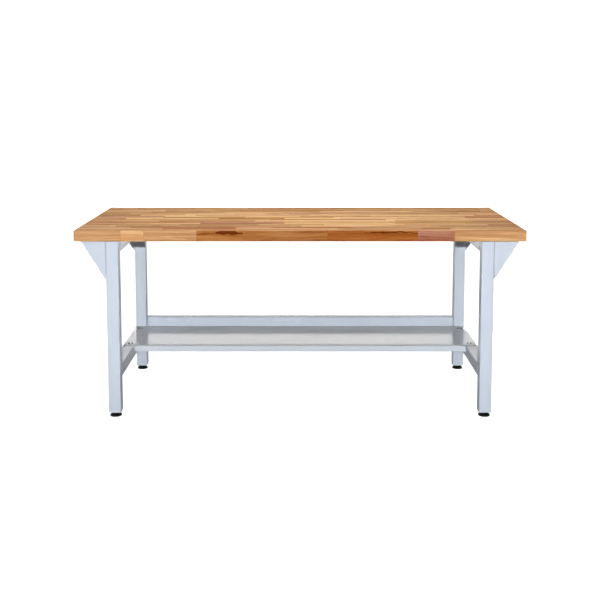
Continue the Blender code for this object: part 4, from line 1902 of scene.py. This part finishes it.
@dataclass
class Fasteners:
    """Screws, bolts and rivet nuts."""

    dome_height: float = 0.0028
    dome_radius: float = 0.0019
    dome_steps: int = 6
    recess_reach: float = 0.0024
    recess_width: float = 0.0009
    recess_depth: float = 0.0018
    recess_taper: float = 0.55
    cross_shank: float = 0.0024
    lag_head: float = 0.0045
    bolt_head: float = 0.0040
    hexagon_shank: float = 0.0030
    crown_share: float = 0.985
    crown_round: float = 0.16

    def build(self, finishes: Finishes) -> None:
        """Builds every fastener at its CAD node.

        Args:
            finishes: The bench's materials.
        """
        self.build_shelf_screws(finishes.black_oxide)
        self.build_lag_screws(finishes.zinc)
        self.build_stringer_bolts(finishes.zinc)
        for name in nodes_named("rivet_nut"):
            dress_kept(name, finishes.zinc)

    def build_shelf_screws(self, material: bpy.types.Material) -> None:
        """Domed screws with a cross recess, a pair at each corner of the shelf.

        Args:
            material: Their finish.
        """
        low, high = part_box("shelf_screw_front_right_inner")
        centre = (low + high) / 2
        head = (high.x - low.x) / 2
        rim = high.z - self.dome_height
        dome = bar("screw", head, (centre.x, centre.y, rim), high.z - rim, sides=40)
        with Shaping(dome) as shape:
            shape.pick(Pick.EDGES, lies_at(Axis.Z, high.z))
            shape.bevel(self.dome_radius, self.dome_steps)
            shape.pick(Pick.FACES, lies_at(Axis.Z, rim))
            shape.inset(head - self.cross_shank)
            shape.push((0.0, 0.0, low.z - rim))
        arms = []
        sizes = (self.recess_reach, self.recess_width / 2)
        for wide, deep in (sizes, reversed(sizes)):
            arm = block("arm", (centre.x - wide, centre.y - deep, high.z - self.recess_depth),
                        (centre.x + wide, centre.y + deep, high.z + 0.001))
            with Shaping(arm) as shape:
                shape.pick(Pick.FACES, faces_towards(Axis.Z, -1))
                shape.grow(self.recess_taper, tuple(centre))
            arms.append(arm)
        settle(combined(dome, arms))
        self.spread(dome, centre, nodes_named("shelf_screw"), "cross", material,
                    "shelf_screw_black_oxide")

    def hex_head(self, name: str, low: Vector, high: Vector, head: float) -> bpy.types.Object:
        """Hexagon screw that points up, its head at the bottom.

        Args:
            name: Name of the piece.
            low: Lowest corner of the screw.
            high: Highest corner.
            head: Height of the head.

        Returns:
            The screw.
        """
        centre = (low + high) / 2
        corner = (high.x - low.x) / 2
        hexagon = bar(name, corner, (centre.x, centre.y, low.z), head, sides=6)
        crown = bar("crown", corner * self.crown_share, (centre.x, centre.y, low.z),
                    head + 0.001, sides=48)
        with Shaping(crown) as shape:
            shape.pick(Pick.EDGES, lies_at(Axis.Z, low.z))
            shape.bevel(corner * self.crown_round, 3)
        combined(hexagon, [crown], "INTERSECT")
        rod = bar("rod", self.hexagon_shank, (centre.x, centre.y, low.z + head / 2),
                  high.z - low.z - head / 2, sides=32)
        with Shaping(rod) as shape:
            shape.pick(Pick.EDGES, lies_at(Axis.Z, high.z))
            shape.bevel(self.hexagon_shank / 2, 2)
        combined(hexagon, [rod], "UNION")
        return settle(hexagon)

    def build_lag_screws(self, material: bpy.types.Material) -> None:
        """Hexagon lag screws that hold the top from below.

        Args:
            material: Their finish.
        """
        low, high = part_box("rail_screw_front_right")
        screw = self.hex_head("screw", low, high, self.lag_head)
        self.spread(screw, (low + high) / 2, nodes_named("gusset_screw", "rail_screw"),
                    "hexagon", material, "lag_screw_zinc")

    def spread(self, piece: bpy.types.Object, home: Vector, names: List[str], word: str,
               material: bpy.types.Material, slot: str) -> None:
        """Copies a fastener to each of its CAD nodes.

        Args:
            piece: The modelled fastener.
            home: Centre of the node it was modelled at.
            names: CAD nodes to copy it to.
            word: First word of each copy's name.
            material: Material of the copies.
            slot: Material slot of the record.
        """
        for name in names:
            low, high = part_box(name)
            move = Matrix.Translation((low + high) / 2 - home)
            fit_out(copied(piece, f"{word}_{name}", move), material, "table", slot, name)
        bpy.data.objects.remove(piece, do_unlink=True)

    def build_stringer_bolts(self, material: bpy.types.Material) -> None:
        """Hexagon bolts through the stringer's ends into the rear legs.

        Args:
            material: Their finish.
        """
        low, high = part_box("stringer_bolt_right_lower")
        half = (high.z - low.z) / 2
        upright = self.hex_head("bolt", Vector((-half, -half, 0.0)),
                                Vector((half, half, high.x - low.x)), self.bolt_head)
        for side in Side:
            turn = Matrix.Rotation(side.value * math.pi / 2, 4, "Y")
            for row in ("lower", "upper"):
                name = f"stringer_bolt_{side.word}_{row}"
                bolt_low, bolt_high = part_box(name)
                head = bolt_low.x if side is Side.RIGHT else bolt_high.x
                _, y, z = middle_of(name)
                bolt = copied(upright, f"hexagon_{name}", Matrix.Translation((head, y, z)) @ turn)
                fit_out(bolt, material, "table", "bolt_zinc", name)
        bpy.data.objects.remove(upright, do_unlink=True)


# --------------------------------------------------------------------------------------
# The studio
# --------------------------------------------------------------------------------------

@dataclass(frozen=True)
class Lamp:
    """One rectangular light: its place, aim, size, power in watts and spread in degrees."""

    name: str
    place: Triple
    target: Triple
    size: Tuple[float, float]
    power: float
    spread: float = 180.0
    mirrored: bool = True

    def hang(self) -> None:
        """Adds the light, out of the camera's sight and of gloss unless it is mirrored."""
        data = bpy.data.lights.new(self.name, "AREA")
        data.spread = math.radians(self.spread)
        data.shape = "RECTANGLE"
        data.size, data.size_y = self.size
        data.energy = self.power
        lamp = bpy.data.objects.new(self.name, data)
        lamp.location = self.place
        aim = Vector(self.target) - Vector(self.place)
        lamp.rotation_euler = aim.to_track_quat("-Z", "Y").to_euler()
        lamp.visible_camera = False
        lamp.visible_glossy = self.mirrored
        bpy.context.scene.collection.objects.link(lamp)


@dataclass
class Studio:
    """Pale floor, soft lights and the camera."""

    floor_size: float = 30.0
    floor_clearance: float = 0.0205
    floor_grey: float = 0.40
    floor_glow: float = 0.02
    wall_light: float = 2.95
    wall_half: Tuple[float, float] = (0.30, 0.42)
    wall_foot: Tuple[float, float] = (0.19, 0.22)
    wall_head: Tuple[float, float] = (0.33, 0.38)
    room_light: float = 0.07
    seen_wall: float = 1.2
    camera_distance: float = 3.7852
    camera_height: float = 1.3464
    camera_pitch: float = 0.1000
    lens: float = 56.90
    shift: float = -0.1919

    def build(self) -> None:
        """Sets up floor, world, lights and camera."""
        bpy.context.scene.view_settings.view_transform = "Standard"
        self.lay_floor()
        self.light_world()
        front = CAD_BOX[0].y
        for lamp in self.lamps(front):
            lamp.hang()
        self.place_camera(front)

    def lamps(self, front: float) -> List[Lamp]:
        """The studio's lights.

        Args:
            front: The bench's front along Y.

        Returns:
            Two keys far in front and two fills beside the bench, then the single lights.
        """
        lamps = []
        for side in Side:
            out = side.value
            lamps += [
                Lamp(f"low_key_{side.word}", place=(out * 1.0, front - 12.0, 3.15),
                     target=(out * -1.3, 0.0, 0.50), size=(0.8, 0.08), power=17.8,
                     spread=18.0, mirrored=False),
                Lamp(f"{side.word}_fill", place=(out * 2.3, 0.5, 0.42),
                     target=(0.0, 0.2, 0.42), size=(1.0, 0.4), power=10.0)]
        return lamps + [
            Lamp("high_key", place=(0.0, front - 3.0, 2.75), target=(0.0, 0.0, 0.50),
                 size=(2.6, 0.5), power=10.0, mirrored=False),
            Lamp("overhead_softbox", place=(0.0, 0.0, 3.2), target=(0.0, 0.0, 0.8),
                 size=(2.6, 0.6), power=12.3, spread=60.0),
            Lamp("back_fill", place=(0.0, 7.0, 0.45), target=(0.0, 0.0, 0.45),
                 size=(4.0, 0.5), power=320.0)]

    def lay_floor(self) -> None:
        """Pale floor that shows no shadow and clears the feet when they are screwed out."""
        bpy.ops.mesh.primitive_plane_add(size=self.floor_size,
                                         location=(0.0, 0.0, -self.floor_clearance))
        floor = bpy.context.object
        floor.name = "studio_floor"
        material = bpy.data.materials.new("pale_floor")
        material.use_nodes = True
        sheet = NodeSheet(material.node_tree)
        shader = material.node_tree.nodes["Principled BSDF"]
        shader.inputs["Base Color"].default_value = (*[self.floor_grey] * 3, 1.0)
        shader.inputs["Roughness"].default_value = 0.9
        shader.inputs["Specular IOR Level"].default_value = 0.1
        shader.inputs["Emission Color"].default_value = (1.0, 1.0, 1.0, 1.0)
        sheet.feed(shader.inputs["Emission Strength"], sheet.if_seen(self.floor_glow, 1.0))
        floor.data.materials.append(material)

    def light_world(self) -> None:
        """World that looks white, and lights the bench with a dim room and a bright strip."""
        world = bpy.data.worlds.new("studio_world")
        world.use_nodes = True
        bpy.context.scene.world = world
        sheet = NodeSheet(world.node_tree)
        background = world.node_tree.nodes["Background"]
        direction = sheet.add("ShaderNodeTexCoord").outputs["Generated"]
        across, ahead, up = sheet.apart(direction)
        width = sheet.math("MULTIPLY", sheet.math("GREATER_THAN", ahead, 0.0),
                           sheet.ramp(sheet.math("ABSOLUTE", across), *self.wall_half, 1.0, 0.0))
        height = sheet.math("MULTIPLY", sheet.ramp(up, *self.wall_foot),
                            sheet.ramp(up, *self.wall_head, 1.0, 0.0))
        strip = sheet.math("MULTIPLY", width, height)
        light = sheet.plus(self.room_light, strip, self.wall_light)
        background.inputs["Color"].default_value = (1.0, 1.0, 1.0, 1.0)
        sheet.feed(background.inputs["Strength"], sheet.if_seen(light, self.seen_wall))

    def place_camera(self, front: float) -> None:
        """Camera in front of the bench's middle, a little above its top.

        Args:
            front: The bench's front along Y.
        """
        data = bpy.data.cameras.new("camera")
        data.lens = self.lens
        data.sensor_width = 36.0
        data.shift_y = self.shift
        camera = bpy.data.objects.new("camera", data)
        camera.location = (0.0, front - self.camera_distance, self.camera_height)
        camera.rotation_euler = (math.pi / 2 - self.camera_pitch, 0.0, 0.0)
        bpy.context.scene.collection.objects.link(camera)
        bpy.context.scene.camera = camera


def main() -> None:
    """Builds the looks of the bench in order."""
    logging.basicConfig(level=logging.INFO, format="%(message)s")
    layout = SlabLayout()
    finishes = Finishes(layout)
    ButcherBlockTop(layout).build(finishes)
    EndFrames().build(finishes)
    Shelf().build(finishes)
    Stringer().build(finishes)
    LevellingFeet().build(finishes)
    Fasteners().build(finishes)
    Studio().build()


if __name__ == "__main__":
    main()
